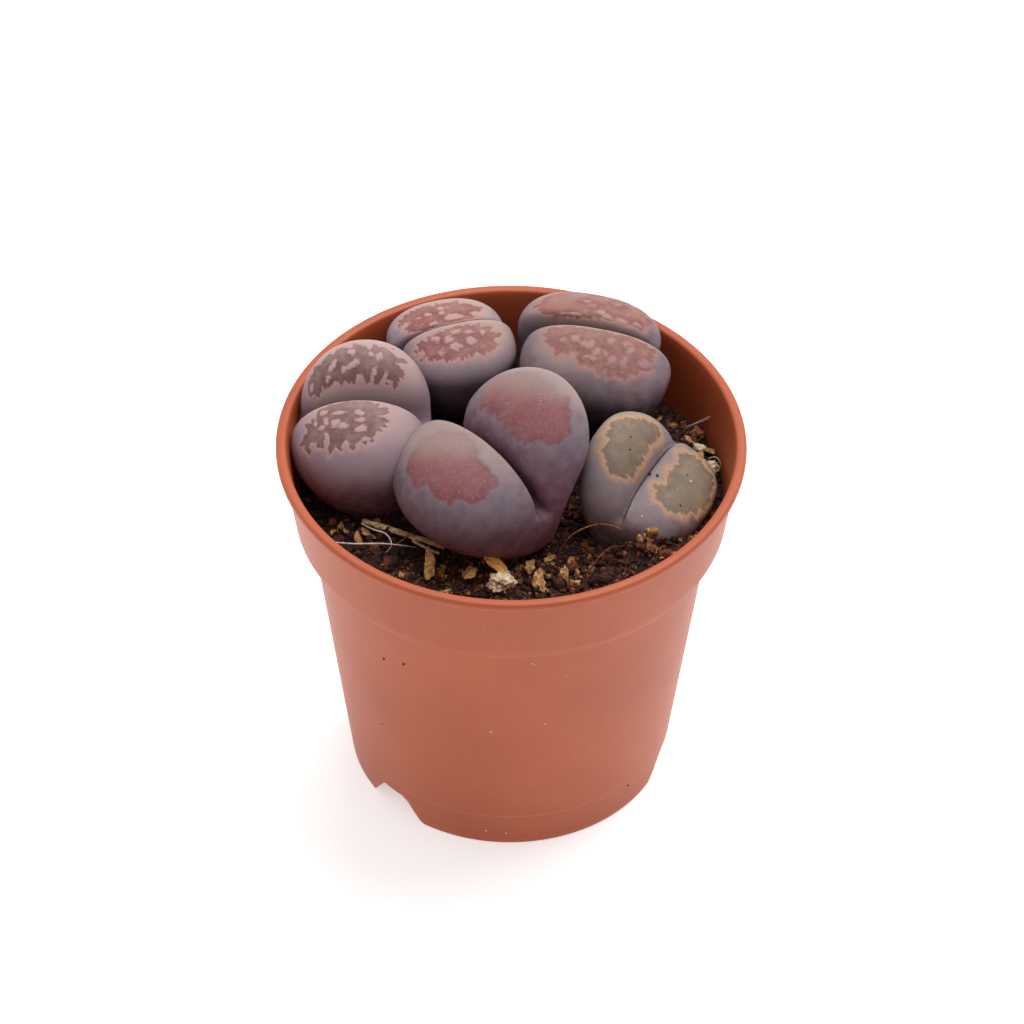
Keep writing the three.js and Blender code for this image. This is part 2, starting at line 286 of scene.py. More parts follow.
for (radius, height), rounding in POT_ROUNDINGS.items():
    bmesh.ops.bevel(
        pot_mesh, geom=ring_edges(pot_mesh, radius, height), offset=rounding,
        segments=3, profile=0.5, affect="EDGES", material=-1,
    )

# The left side of a notch: how far in from half its width, and how high.
NOTCH_SIDE = ((-0.6, -1), (-0.6, 0), (0, 0.5), (0.9, 1.9), (1.6, 3.1), (2.4, SKIRT_HEIGHT - 0.1))
NOTCH_REACH = 3.0
notch = [(inwards - NOTCH_WIDTH / 2, height) for inwards, height in NOTCH_SIDE]
notch += [(-x, z) for x, z in reversed(notch)]
cutters = bmesh.new()
for turn in NOTCH_TURNS:
    spot = Matrix.Rotation(math.radians(turn), 4, "Z")
    verts = [cutters.verts.new((x, -FOOT_RADIUS - NOTCH_REACH, z)) for x, z in notch]
    block = bmesh.ops.extrude_face_region(cutters, geom=[cutters.faces.new(verts)])
    far = [item for item in block["geom"] if isinstance(item, bmesh.types.BMVert)]
    bmesh.ops.translate(cutters, verts=far, vec=(0, 2 * NOTCH_REACH, 0))
    bmesh.ops.transform(cutters, verts=verts + far, matrix=spot)
    bmesh.ops.create_cone(
        cutters, cap_ends=True, segments=40, radius1=DRAIN_RADIUS, radius2=DRAIN_RADIUS, depth=4 * FLOOR,
        matrix=spot @ Matrix.Translation((0, -DRAIN_FROM_CENTRE, SKIRT_HEIGHT + FLOOR / 2)),
    )
bmesh.ops.recalc_face_normals(cutters, faces=cutters.faces)
cutter = bpy.data.objects.new("cutter", mesh_of(cutters, "cutter"))
scene.collection.objects.link(cutter)
pot_data = with_modifiers(mesh_of(pot_mesh, "pot_blank"), [
    ("BOOLEAN", {"operation": "DIFFERENCE", "object": cutter, "solver": "EXACT"}),
    ("BEVEL", {"width": 0.12, "segments": 2, "limit_method": "ANGLE", "angle_limit": math.radians(50)}),
])
bpy.data.objects.remove(cutter)

# Pot plastic: brick orange all through, a little paler where it is scuffed, thin enough that light
# glows through the wall, with a low satin grain from the mould and a faint line where the floor is.
def mix_colours(tree, factor, first, second, mode="MIX"):
    """The first colour, mixed with a share of the second."""
    node = tree.nodes.new("ShaderNodeMix")
    node.data_type = "RGBA"
    node.blend_type = mode
    for index, value in ((0, factor), (6, first), (7, second)):
        feed(tree, node.inputs[index], value)
    return node.outputs[2]


def ease(tree, value, low, high, to_low=0.0, to_high=1.0):
    """A value that goes smoothly from one level to another between two limits."""
    return put(
        tree, "MapRange", {"interpolation_type": "SMOOTHSTEP"},
        {"Value": value, "From Min": low, "From Max": high, "To Min": to_low, "To Max": to_high},
    ).outputs["Result"]


def calculate(tree, operation, *values):
    """The outcome of a sum on values or sockets."""
    node = tree.nodes.new("ShaderNodeMath")
    node.operation = operation
    for socket, value in zip(node.inputs, values):
        feed(tree, socket, value)
    return node.outputs[0]


def ramp(tree, value, *stops):
    """A colour that a value picks from a run of them. Each stop is its place on the run and its colour."""
    node = put(tree, "ValToRGB", None, {"Fac": value})
    elements = node.color_ramp.elements
    for element, (position, code) in zip(elements, (stops[0], stops[-1])):
        element.position, element.color = position, tone(code)
    for position, code in stops[1:-1]:
        elements.new(position).color = tone(code)
    return node.outputs["Color"]


def noise_over(tree, scale, detail, roughness=0.5):
    """Smooth noise through the object, from 0 to 1: its lumps to the metre, and its finer octaves."""
    return put(tree, "TexNoise", None, {
        "Vector": put(tree, "TexCoord").outputs["Object"], "Scale": scale, "Detail": detail,
        "Roughness": roughness,
    }).outputs["Fac"]


def height_over_table(tree):
    """How high a place of the object lies, in metres."""
    return put(tree, "SeparateXYZ", None, {"Vector": put(tree, "TexCoord").outputs["Object"]}).outputs["Z"]


FLOOR_LINE_HEIGHT = 0.0052
FLOOR_LINE_HALF_WIDTH = 0.00016
pot_plastic, tree = new_material("pot_plastic")
pale = tone(0xD89A80)
plastic = ramp(tree, noise_over(tree, 60, 4), (0.3, 0xA44F2F), (0.7, 0xB05937))
plastic = mix_colours(tree, ease(tree, noise_over(tree, 900, 5, 0.7), 0.6, 0.75, 0.0, 0.12), plastic, pale)
above_line = calculate(tree, "SUBTRACT", height_over_table(tree), FLOOR_LINE_HEIGHT)
line = ease(tree, calculate(tree, "ABSOLUTE", above_line), 0.0, FLOOR_LINE_HALF_WIDTH, 0.18, 0.0)
dress(tree, {
    "Base Color": mix_colours(tree, line, plastic, pale), "Roughness": 0.45, "Specular IOR Level": 0.3,
    "Subsurface Weight": 0.25, "Subsurface Radius": (1.0, 0.35, 0.2), "Subsurface Scale": 0.0015,
}, noise_over(tree, 5000, 2), 0.15, 0.00005)
pot_surface = surface_of(pot_data)
finished_piece("pot_shell", pot_data, pot_plastic, "terracotta_plastic", "pot")


# Specks on the pot: splashes of pale lime and dots of dried peat on the outside of the wall, each
# three tenths of a millimetre across or less. They are dry and sit on the plastic.
def specks(name, surface, spots):
    """Grains on a surface, as one mesh. Each is where it lies and its radius."""
    heap = bmesh.new()
    for *place, radius in spots:
        seat, normal, _, _ = surface.find_nearest(Vector(place))
        where = Matrix.Translation(seat + normal * radius * 0.3)
        bmesh.ops.create_icosphere(heap, subdivisions=2, radius=radius, matrix=where)
    return mesh_of(heap, name)


grit_black, tree = new_material("grit_black")
dress(tree, {"Base Color": tone(0x2A201E), "Roughness": 0.8})
dust_white, tree = new_material("dust_white")
dress(tree, {"Base Color": tone(0xE8E0D4), "Roughness": 0.8})
finished_piece("pot_dots", specks("pot_dots", pot_surface, [
    (-2.1, -21.7, 21.8, 0.13), (6.6, -22.1, 31.4, 0.09), (-2.6, -19.1, 2.3, 0.1), (-0.2, -19.3, 2.0, 0.09),
    (2.6, -23.3, 34.8, 0.1), (2.9, -23.2, 34.5, 0.08), (4.2, -21.5, 22.9, 0.07),
]), dust_white, "pale_crumb")
finished_piece("pot_grit", specks("pot_grit", pot_surface, [
    (-14.6, -17.4, 29.4, 0.14), (-12.3, -19.3, 30.4, 0.15),
    (14.3, -13.3, 4.2, 0.11), (-15.0, -14.7, 15.7, 0.08),
]), grit_black, "potting_soil")


# Living stones: five plants, each a pair of thick leaves grown together below a slit. Their tops are
# dark clear windows with toothed margins and islands of pale opaque skin, raised a little.
SOIL_LEVEL = 39.0
GRAIN = 0.17
MELTING_BAND = 2.5
MELTING_OVER_FUSED = 1.5
LOWEST_WINDOW = -0.3
FAR_OUTSIDE = -5.0
WINDOW_EDGE = 0.25
# The side the light comes from, up and back. The skin is painted paler towards it, as painted highlight and
# sheen.
LIGHT_FROM = Vector((0, 0.69, 0.72))
LEAF_OF_SIDE = {1: "behind", -1: "before"}

# Of each plant, where it stands and how it is turned; how full its leaves are over and under their
# middle, how they draw in below and how square they are; where the root leans; up to what height over
# the peat each leaf is fused; half the slit's gap and its rounding; the depth and the width of the
# window's teeth; how deep it is sunk; and how much the back leaf's face towards the slit is painted
# paler, as painted light where that face lies in shade.
# Of each leaf, its shape in the pot: its middle along and out from the slit and over the peat, its half
# length, half width, the heights of its crown and root, and its lean. Then the outline of its window,
# along and across the leaf in mm, and the islands: middle, half length, half width and turn in degrees.
PLANTS = {
    "lithops_left": {
        "x": -17.0, "y": 4.1, "turn": 2.2, "fullness": (2.1, 2.4), "waist": 0.3, "square": 2.05,
        "foot": (3.5, -2.5), "fused": (7, 7), "slit": (0.2, 1.4), "teeth": (1.35, 0.62), "relief": 0.05,
        "paler": 1.3, "seed": 3,
        "behind": {
            "shape": (-0.05, 2.75, 7.35, 7.68, 5.5, 8.45, 9.5, 28.0),
            "window": [
                (-9.4, -5.0), (-9.8, -2.3), (-7.0, -1.2), (-3.4, -1.4), (0.1, -1.5), (3.3, -1.3),
                (5.1, -1.8), (5.7, -3.5), (4.9, -5.9), (1.2, -6.7), (-2.0, -6.7), (-4.8, -6.2),
                (-7.3, -5.4),
            ],
            "islands": [
                (-1.6, -2.3, 0.38, 0.51), (0.8, -2.9, 0.3, 0.34), (1.8, -3.1, 0.42, 0.47),
                (-4.4, -3.3, 0.77, 0.36, 35), (-2.9, -4.5, 0.36, 0.51), (-2.0, -4.2, 0.59, 0.32, 20),
                (-1.0, -3.8, 0.36, 0.42), (-5.7, -4.6, 0.42, 0.47), (1.3, -5.1, 0.64, 0.34, 70),
                (3.0, -5.3, 0.42, 0.21, 80), (-0.8, -6.5, 0.77, 1.02), (1.0, -6.2, 0.3, 0.51),
                (-4.8, -6.1, 0.77, 0.51), (-8.8, -3.5, 0.42, 0.51), (-7.1, -5.7, 0.21, 0.59),
                (3.9, -1.5, 0.59, 0.51), (5.1, -3.1, 0.77, 0.38), (3.6, -6.0, 0.51, 0.3),
            ],
        },
        "before": {
            "shape": (-0.9, 2.15, 6.5, 8.1, 7.8, 5.6, 9.9, 15),
            "window": [
                (-7.3, 2.8), (-7.3, 1.0), (-5.9, -0.6), (-4.8, -2.7), (-2.0, -4.4), (0.9, -4.0),
                (2.3, -3.3), (3.2, -2.1), (3.3, -0.2), (2.5, 1.6), (1.5, 2.6), (-0.1, 3.0), (-1.4, 3.6),
                (-2.8, 3.8), (-4.8, 3.1),
            ],
            "islands": [
                (-2.3, -1.3, 0.75, 0.35), (0.1, -1.2, 0.45, 0.4), (0.2, 0.0, 0.6, 0.3),
                (0.3, 1.2, 0.75, 0.38, -25), (-2.7, 0.2, 0.5, 0.55), (-1.8, 0.7, 0.42, 0.36),
                (-3.9, -0.2, 0.3, 0.65), (-4.4, 0.6, 0.4, 0.3), (-5.2, -0.3, 0.18, 0.5),
                (-4.2, -1.9, 0.4, 0.4), (-3.9, 2.5, 0.35, 0.9), (-1.7, 3.3, 0.4, 0.7),
                (-5.7, 2.8, 0.42, 0.7), (0.7, 2.6, 0.45, 0.3),
            ],
        },
    },
    "lithops_back_left": {
        "x": -7.1, "y": 17.0, "turn": 17.5, "fullness": (2.4, 2.4), "waist": 0.3, "square": 2.35,
        "foot": (1, -1), "fused": (7, 7), "slit": (0.15, 0.8), "teeth": (0.85, 0.44), "relief": 0.06,
        "paler": 0.3, "seed": 14,
        "behind": {
            "shape": (-0.35, 1.3, 8.45, 7.1, 5.75, 3.6, 10.4, 6),
            "window": [
                (-5.8, 1.3), (-4.3, 2.4), (-2.0, 2.9), (1.7, 2.6), (4.6, 0.8), (4.2, -0.7), (2.4, -2.5),
                (-0.7, -2.9), (-3.1, -3.8), (-4.2, -2.4), (-5.2, -0.4),
            ],
            "islands": [
                (-3.1, 0.6, 0.35, 0.25), (-1.9, 0.8, 0.3, 0.35), (-0.3, 0.6, 0.35, 0.3),
                (0.1, 1.5, 0.55, 0.35), (-1.7, -1.7, 0.5, 0.7), (0.8, -0.9, 1.0, 0.8),
                (3.8, -0.7, 0.8, 0.6), (-4.9, 0.5, 0.5, 0.5),
            ],
        },
        "before": {
            "shape": (0.35, 1.3, 8.9, 6.85, 5.8, 3.2, 10.4, 10),
            "window": [
                (-5.9, 0.6), (-4.6, -0.5), (-1.8, -1.1), (0.5, -1.4), (3.4, -0.7), (4.6, 0.8), (3.9, 2.3),
                (2.5, 3.0), (0.7, 3.4), (-1.0, 3.5), (-2.0, 3.2), (-3.6, 2.9), (-5.0, 1.9),
            ],
            "islands": [
                (-0.3, -0.5, 0.55, 0.35), (1.1, -0.0, 0.45, 0.3), (2.7, 0.3, 0.3, 0.35),
                (-1.5, 0.4, 0.55, 0.42), (-3.0, 0.1, 0.5, 0.5), (0.9, 1.3, 0.6, 0.5),
                (-1.0, 1.7, 0.6, 0.5), (-2.7, 1.9, 0.25, 0.4), (-5.1, 1.2, 0.35, 0.5),
            ],
        },
    },
    "lithops_back_right": {
        "x": 9.45, "y": 14.75, "turn": -14.8, "fullness": (2.35, 2.4), "waist": 0.3, "square": 2.4,
        "foot": (-2, -1), "fused": (8, 8), "slit": (0.2, 1.2), "teeth": (0.9, 0.7), "relief": 0.08,
        "paler": 0.8, "seed": 27,
        "behind": {
            "shape": (-0.95, 2.05, 10.0, 8.6, 5.5, 4.7, 11.1, 10),
            "window": [
                (-6.6, -1.4), (-5.1, -3.1), (-3.8, -4.1), (-0.6, -4.0), (1.7, -3.4), (3.0, -2.8),
                (4.8, -2.5), (6.7, -1.7), (7.9, 0.7), (6.0, 2.5), (4.9, 3.2), (0.7, 3.3), (-2.7, 3.0),
                (-5.6, 1.6),
            ],
            "islands": [
                (-1.6, -3.2, 0.75, 0.5), (1.5, -1.6, 0.65, 0.6, -20), (2.3, -2.2, 0.6, 0.5, -30),
                (4.0, -2.1, 0.7, 0.6, -20), (-0.6, 0.4, 0.35, 0.35), (0.3, -0.3, 0.35, 0.35),
                (2.9, 1.2, 0.35, 0.3), (6.1, -1.4, 0.4, 0.45), (-2.8, -3.6, 0.35, 0.4),
            ],
        },
        "before": {
            "shape": (1.1, 2.5, 10.0, 9.0, 6.5, 4.05, 11.0, 13.5),
            "window": [
                (-6.4, -1.8), (-6.1, -0.5), (-5.4, 0.7), (-2.8, 1.7), (-1.3, 2.5), (0.4, 3.1), (2.0, 3.2),
                (3.2, 3.4), (4.3, 3.0), (5.8, 2.3), (7.2, 0.9), (6.8, -2.3), (4.2, -3.2), (1.3, -3.2),
                (-3.1, -3.3), (-5.5, -2.4),
            ],
            "islands": [
                (-3.9, -0.3, 0.42, 0.3), (-2.4, -0.8, 0.5, 0.5), (-0.8, -0.2, 0.75, 0.5, -10),
                (0.5, 0.5, 0.5, 0.5), (1.7, -1.3, 0.45, 0.55), (3.6, -1.5, 0.55, 0.42),
                (4.2, -0.6, 0.45, 0.55), (-2.1, 1.8, 0.55, 0.7), (0.0, 1.6, 0.65, 0.4),
                (2.4, 1.4, 0.5, 0.6), (1.5, 0.9, 0.25, 0.3), (6.5, 0.5, 0.8, 0.55, -20),
                (3.8, 1.4, 0.45, 0.9),
            ],
        },
    },
    "lithops_centre": {
        "x": -2.9, "y": -4.5, "turn": -46.6, "fullness": (1.95, 2.4), "waist": 0.2, "square": 2.0,
        "foot": (4.8, -1.2), "fused": (7.6, 7.0), "slit": (0.13, 0.75), "teeth": (0.9, 1.5),
        "relief": 0.02, "paler": 0.0, "seed": 41,
        "behind": {
            "shape": (1.1, 4.85, 11.12, 8.6, 4.75, 8.6, 14.2, 43),
            "window": [
                (-9.0, -5.9), (-7.9, -7.0), (-3.5, -7.9), (0.8, -8.3), (3.6, -8.4), (5.9, -7.7),
                (7.1, -6.2), (8.8, -5.1), (9.9, -4.2), (9.0, -3.3), (8.0, -2.3), (6.0, -1.9), (1.8, -2.3),
                (-2.4, -2.5), (-5.7, -2.7), (-9.3, -3.3),
            ],
        },
        "before": {
            "shape": (-0.65, 1.7, 7.45, 9.9, 8.85, 5.8, 8.1, 14.5),
            "window": [
                (-3.8, 6.5), (-2.4, 6.5), (-1.0, 6.2), (0.4, 5.8), (1.9, 6.4), (3.3, 5.8), (3.5, 4.6),
                (4.7, 4.3), (6.0, 3.0), (6.0, 1.4), (6.2, 0.1), (5.2, -0.7), (3.1, -0.6), (1.7, -1.3),
                (-1.5, -2.1), (-4.6, -0.5), (-6.1, 1.2), (-5.6, 3.4), (-4.8, 5.3),
            ],
        },
    },
    "lithops_right": {
        "x": 16.7, "y": -2.6, "turn": 62.8, "fullness": (1.95, 3.0), "waist": 0.05, "square": 2.5,
        "foot": (-1.2, -0.8), "fused": (5.4, 5.1), "slit": (0.1, 0.25), "teeth": (0.7, 0.6),
        "relief": 0.04, "paler": 0.0, "seed": 58,
        "behind": {
            "shape": (-0.8, 2.6, 4.3, 8.3, 4.1, 8.7, 12.0, 21.5),
            "window": [
                (1.0, -0.3), (2.3, -1.1), (3.7, -1.9), (5.4, -2.8), (6.7, -3.5), (6.5, -4.3), (4.4, -4.6),
                (2.6, -4.5), (1.3, -4.9), (-0.1, -4.9), (-1.6, -5.0), (-3.0, -4.7), (-4.3, -4.8),
                (-5.4, -4.2), (-5.9, -3.5), (-6.3, -2.6), (-5.8, -1.9), (-4.8, -1.5), (-3.8, -1.0),
                (-2.6, -0.9), (-1.5, -0.6), (-0.2, -0.3),
            ],
        },
        "before": {
            "shape": (-0.7, 1.75, 5.0, 7.9, 5.8, 1.8, 8.0, 22),
            "window": [
                (4.4, -1.1), (6.0, -0.6), (6.5, 0.5), (5.9, 1.8), (5.1, 3.1), (4.2, 4.0), (2.8, 4.8),
                (1.5, 5.2), (0.1, 5.0), (-1.2, 4.3), (-2.2, 3.5), (-2.8, 2.5), (-3.3, 1.6), (-3.4, 0.7),
                (-3.1, -0.3), (-2.1, -1.0), (-1.6, -1.4), (-0.7, -0.4), (0.1, -0.2), (0.9, -0.7),
                (2.1, -0.6), (3.2, -0.5),
            ],
        },
    },
}


def smooth_step(share):
    """A share from 0 to 1, with an even start and an even end."""
    return share * share * (3 - 2 * share)


def leaf_girth(plant, height):
    """How much wider than a sphere a leaf is at a height from -1, its root, to 1, its crown."""
    drawn_in = 1 - plant["waist"] * max(0, -height) ** 1.5
    fullness = plant["fullness"][0 if height > 0 else 1]
    z = min(abs(height), 0.99999)
    return drawn_in * (1 - z ** fullness) ** (1 / fullness) / math.sqrt(1 - z * z)


def plan_reach(plant, spot):
    """How much farther than an ellipse a leaf reaches, seen from above, towards its corners."""
    across, square = spot.xy.length, plant["square"]
    if across < 1e-6:
        return 1
    return (abs(spot.x / across) ** square + abs(spot.y / across) ** square) ** (-1 / square)


def leaf_arcs(plant, leaf):
    """The way over a leaf from its crown to each degree below it, as a share of its half size."""
    _, _, _, length, thick, crown, depth, _ = leaf["shape"]
    arcs, last = [0.0], (0.0, crown)
    for degree in range(1, 181):
        z = math.cos(math.radians(degree))
        out = leaf_girth(plant, z) * math.sin(math.radians(degree)) * (length + thick) / 2
        up = z * (crown if z > 0 else depth)
        arcs.append(arcs[-1] + math.hypot(out - last[0], up - last[1]) * 2 / (length + thick))
        last = (out, up)
    return arcs


def leaf_place(plant, leaf, side, spot):
    """Where a point of the unit sphere comes to lie on a leaf, behind (1) or before (-1) the slit."""
    along0, out0, up0, length, thick, crown, depth, lean = leaf["shape"]
    lean, turn = math.radians(lean), math.radians(plant["turn"])
    width = leaf_girth(plant, spot.z) * plan_reach(plant, spot)
    along = along0 + length * spot.x * width
    across = thick * spot.y * width
    height = spot.z * (crown if spot.z > 0 else depth)
    out = out0 + across * math.cos(lean) + height * math.sin(lean)
    up = up0 - across * math.sin(lean) + height * math.cos(lean)
    half_slit, rounding = plant["slit"]
    pressed = half_slit + rounding * math.log1p(math.exp((out - half_slit) / rounding))
    drawn = max(0, -spot.z) ** 1.3
    return Vector((
        plant["x"] + along * math.cos(turn) - side * pressed * math.sin(turn) + plant["foot"][0] * drawn,
        plant["y"] + along * math.sin(turn) + side * pressed * math.cos(turn) + plant["foot"][1] * drawn,
        SOIL_LEVEL + up,
    ))


def island_depth(leaf, u, v):
    """How far inside an island of opaque skin a place of the window lies, in millimetres."""
    deepest = -9.0
    for middle_u, middle_v, length, width, *turn in leaf.get("islands", ()):
        angle = math.radians(turn[0] if turn else 0)
        c, s = math.cos(angle), math.sin(angle)
        du, dv = u - middle_u, v - middle_v
        reach = math.hypot((c * du + s * dv) / length, (c * dv - s * du) / width)
        deepest = max(deepest, (1 - reach) * math.sqrt(length * width))
    return deepest


def outline_depth(outline, u, v):
    """How far inside a closed outline a place lies, less than 0 outside, and the nearest edge."""
    nearest, edge, inside = 99.0, (u, v), False
    for (u1, v1), (u2, v2) in zip(outline, outline[1:] + outline[:1]):
        du, dv = u2 - u1, v2 - v1
        share = min(max(((u - u1) * du + (v - v1) * dv) / (du * du + dv * dv), 0), 1)
        way = math.hypot(u - u1 - du * share, v - v1 - dv * share)
        if way < nearest:
            nearest, edge = way, (u1 + du * share, v1 + dv * share)
        if (v1 > v) != (v2 > v) and u < u1 + du * (v - v1) / dv:
            inside = not inside
    return (nearest if inside else -nearest), edge


def window_depth(plant, leaf, u, v):
    """How far inside the window's toothed margin a place lies, in millimetres. Less than 0 is skin."""
    depth, tooth = plant["teeth"]
    inward, edge = outline_depth(leaf["window"], u, v)
    spot = Vector((edge[0] / tooth, edge[1] / tooth, plant["seed"] + inward / (5 * tooth)))
    inward += depth * noise.noise(spot) + 0.2 * depth * noise.noise(spot * 2.7)
    spot = Vector((u * 1.7, v * 1.7, plant["seed"]))
    islands = island_depth(leaf, u, v) + 0.42 * noise.noise(spot) + 0.2 * noise.noise(spot * 2.4) + 0.05
    return min(inward, -islands)


def leaf_shell(plant, leaf, side):
    """One leaf as a mesh, with a search tree of it, its faces' corners, and where each corner lies on
    the unit sphere and in the pot."""
    shell = bmesh.new()
    bmesh.ops.create_icosphere(shell, subdivisions=5, radius=1.0)
    spots = [vert.co.copy() for vert in shell.verts]
    for vert in shell.verts:
        vert.co = leaf_place(plant, leaf, side, vert.co)
    shell.normal_update()
    bmesh.ops.recalc_face_normals(shell, faces=shell.faces)
    shell.faces.ensure_lookup_table()
    corners = [[vert.index for vert in face.verts] for face in shell.faces]
    places = [vert.co.copy() for vert in shell.verts]
    return (BVHTree.FromBMesh(shell), corners, spots, places), mesh_of(shell, "leaf")


def body_between(plant, shells):
    """The body under the slit, as the hull of both leaves' lower parts."""
    low = bmesh.new()
    for side, (_, _, _, places) in shells.items():
        for place in places:
            if place.z < SOIL_LEVEL + plant["fused"][0 if side == 1 else 1]:
                low.verts.new(place)
    hull = bmesh.ops.convex_hull(low, input=low.verts)
    inner = [item for item in hull["geom_interior"] if isinstance(item, bmesh.types.BMVert)]
    bmesh.ops.delete(low, geom=inner, context="VERTS")
    return mesh_of(low, "body")


def softened(mesh, melts_under):
    """A mesh smoothed hard at its foot, less and less up to a height, where the leaves have fused."""
    holder = bpy.data.objects.new("holder", mesh)
    melted = holder.vertex_groups.new(name="melted")
    for vert in mesh.vertices:
        share = min((melts_under - vert.co.z) / MELTING_BAND, 1)
        if share > 0:
            melted.add([vert.index], share, "REPLACE")
    bpy.data.objects.remove(holder)
    return with_modifiers(mesh, [
        ("SMOOTH", {"factor": 0.5, "iterations": 150, "vertex_group": "melted"}),
    ], groups=["melted"])


def place_on_leaf(shell, place):
    """Where a place of the plant lies on the unit sphere that its leaf was made from."""
    tree, corners, spots, places = shell
    near, _, face, _ = tree.find_nearest(place)
    a, b, c = corners[face]
    weights = barycentric(near, places[a], places[b], places[c])
    return spots[a] * weights[0] + spots[b] * weights[1] + spots[c] * weights[2]


def depth_in_window(plant, leaf, arcs, spot):
    """How far inside the window a place on the unit sphere lies, in millimetres."""
    if spot.z < LOWEST_WINDOW:
        return FAR_OUTSIDE
    spread = spot.xy.length
    degrees = math.degrees(math.atan2(spread, spot.z))
    whole_degree = int(degrees)
    arc = arcs[whole_degree]
    arc += (arcs[whole_degree + 1] - arc) * (degrees - whole_degree)
    arc /= max(spread, 1e-6)
    _, _, _, length, thick, _, _, _ = leaf["shape"]
    return window_depth(plant, leaf, spot.x * arc * length, spot.y * arc * thick)


def set_attribute(mesh, name, values):
    """Keep a value for each vertex of a mesh, under the name that its material reads."""
    mesh.attributes.new(name, "FLOAT", "POINT").data.foreach_set("value", values)


def grown_plant(name, plant):
    """The mesh of one plant: both leaves and the body between them, fused and softened, with how deep
    in the window each place lies as an attribute, and the windows sunk in a little."""
    whole, shells = bmesh.new(), {}
    parts = []
    for side, key in LEAF_OF_SIDE.items():
        shells[side], part = leaf_shell(plant, plant[key], side)
        parts.append(part)
    for part in (*parts, body_between(plant, shells)):
        whole.from_mesh(part)
        bpy.data.meshes.remove(part)
    fused = with_modifiers(mesh_of(whole, name), [
        ("REMESH", {"mode": "VOXEL", "voxel_size": GRAIN}),
        ("SMOOTH", {"factor": 0.5, "iterations": 8}),
    ])
    fused = softened(fused, SOIL_LEVEL + max(plant["fused"]) + MELTING_OVER_FUSED)

    turn = math.radians(plant["turn"])
    middle = Vector((plant["x"], plant["y"], 0))
    outwards = Vector((-math.sin(turn), math.cos(turn), 0))
    arcs = {side: leaf_arcs(plant, plant[key]) for side, key in LEAF_OF_SIDE.items()}
    depths, crowns, sides = [], [], []
    for vert in fused.vertices:
        side = 1 if (vert.co - middle).dot(outwards) > 0 else -1
        spot = place_on_leaf(shells[side], vert.co)
        crown = min(spot.z, (vert.co.z - SOIL_LEVEL) / 6 - 0.9)
        sides.append(side)
        # Painted light: the back leaf's face towards the slit gets a higher crown, so it is painted paler
        # where it lies in shade.
        crowns.append(crown + plant["paler"] * max(0, -spot.y) * (side == 1))
        depths.append(depth_in_window(plant, plant[LEAF_OF_SIDE[side]], arcs[side], spot))
    # How far each place lies towards the light: the lit side of the crown and of the windows is painted
    # paler, as painted highlight and sheen.
    climbs = [vert.co.dot(LIGHT_FROM) for vert in fused.vertices]
    middles = {}
    for side in LEAF_OF_SIDE:
        inside = [climb for climb, at, depth in zip(climbs, sides, depths) if at == side and depth > 0]
        middles[side] = sum(inside) / len(inside)
    sunk = []
    for vert, depth in zip(fused.vertices, depths):
        share = min(max((depth + WINDOW_EDGE) / (2 * WINDOW_EDGE), 0), 1)
        sunk.append(vert.co - vert.normal * plant["relief"] * smooth_step(share))
    for vert, place in zip(fused.vertices, sunk):
        vert.co = place
    plant["tree"] = surface_of(fused)
    for key, values in {
        "window": depths, "crown": crowns,
        "towards_light": [climb - middles[side] for climb, side in zip(climbs, sides)],
        "from_slit": [(vert.co - middle).dot(outwards) for vert in fused.vertices],
    }.items():
        set_attribute(fused, key, values)
    return fused


def barycentric(place, a, b, c):
    """The weights of a triangle's three corners at a place on it."""
    ab, ac, ap = b - a, c - a, place - a
    bb, bc, cc, pb, pc = ab.dot(ab), ab.dot(ac), ac.dot(ac), ap.dot(ab), ap.dot(ac)
    whole = bb * cc - bc * bc
    if abs(whole) < 1e-12:
        return 1.0, 0.0, 0.0
    second, third = (cc * pb - bc * pc) / whole, (bb * pc - bc * pb) / whole
    return 1 - second - third, second, third


# The skin: waxy and mottled on the sides, flushed along the margin, and clear and dark in the window.
# It is darker near the root, partly its own colour and partly painted shade. The crown is painted
# paler on the side towards the light, up and back, as a painted highlight, with a painted sheen over
# the windows on that side; and a thin dark line of painted shade runs along the slit above where the
# leaves are fused.
def attribute(tree, name):
    """A value that the mesh keeps for each vertex."""
    return put(tree, "Attribute", {"attribute_name": name}).outputs["Fac"]


# Low side and High side run from the root up: partly the skin's own colour, partly painted shade near the
# root. The lit top colour is a painted highlight, and gives the windows their painted sheen.
SKIN_COLOURS = ("Low side", "High side", "Top", "Margin", "Window edge", "Window middle", "Dots")
SKIN_AMOUNTS = ("Margin width", "Margin strength", "Softness", "Painted sheen", "Dot share")
skin = bpy.data.node_groups.new("living_stone_skin", "ShaderNodeTree")
for kind, names in (
    ("Float", ("Window", "Crown", "Towards light", "From slit", "Slit end", *SKIN_AMOUNTS)), ("Color", SKIN_COLOURS),
):
    for name in names:
        skin.interface.new_socket(name, in_out="INPUT", socket_type="NodeSocket" + kind)
for kind, name in (("Color", "Colour"), ("Float", "Roughness"), ("Float", "Height")):
    skin.interface.new_socket(name, in_out="OUTPUT", socket_type="NodeSocket" + kind)
given = skin.nodes.new("NodeGroupInput").outputs
result = skin.nodes.new("NodeGroupOutput").inputs
speck = noise_over(skin, 6500, 2)
fine = noise_over(skin, 2600, 3)
patch = noise_over(skin, 750, 3)
broad = noise_over(skin, 220, 2)
# Darker towards the root: partly the skin's own colour and partly painted shade.
rise = calculate(skin, "MULTIPLY_ADD", broad, 0.5, given["Crown"])
high = ease(skin, rise, -0.25, 0.75)
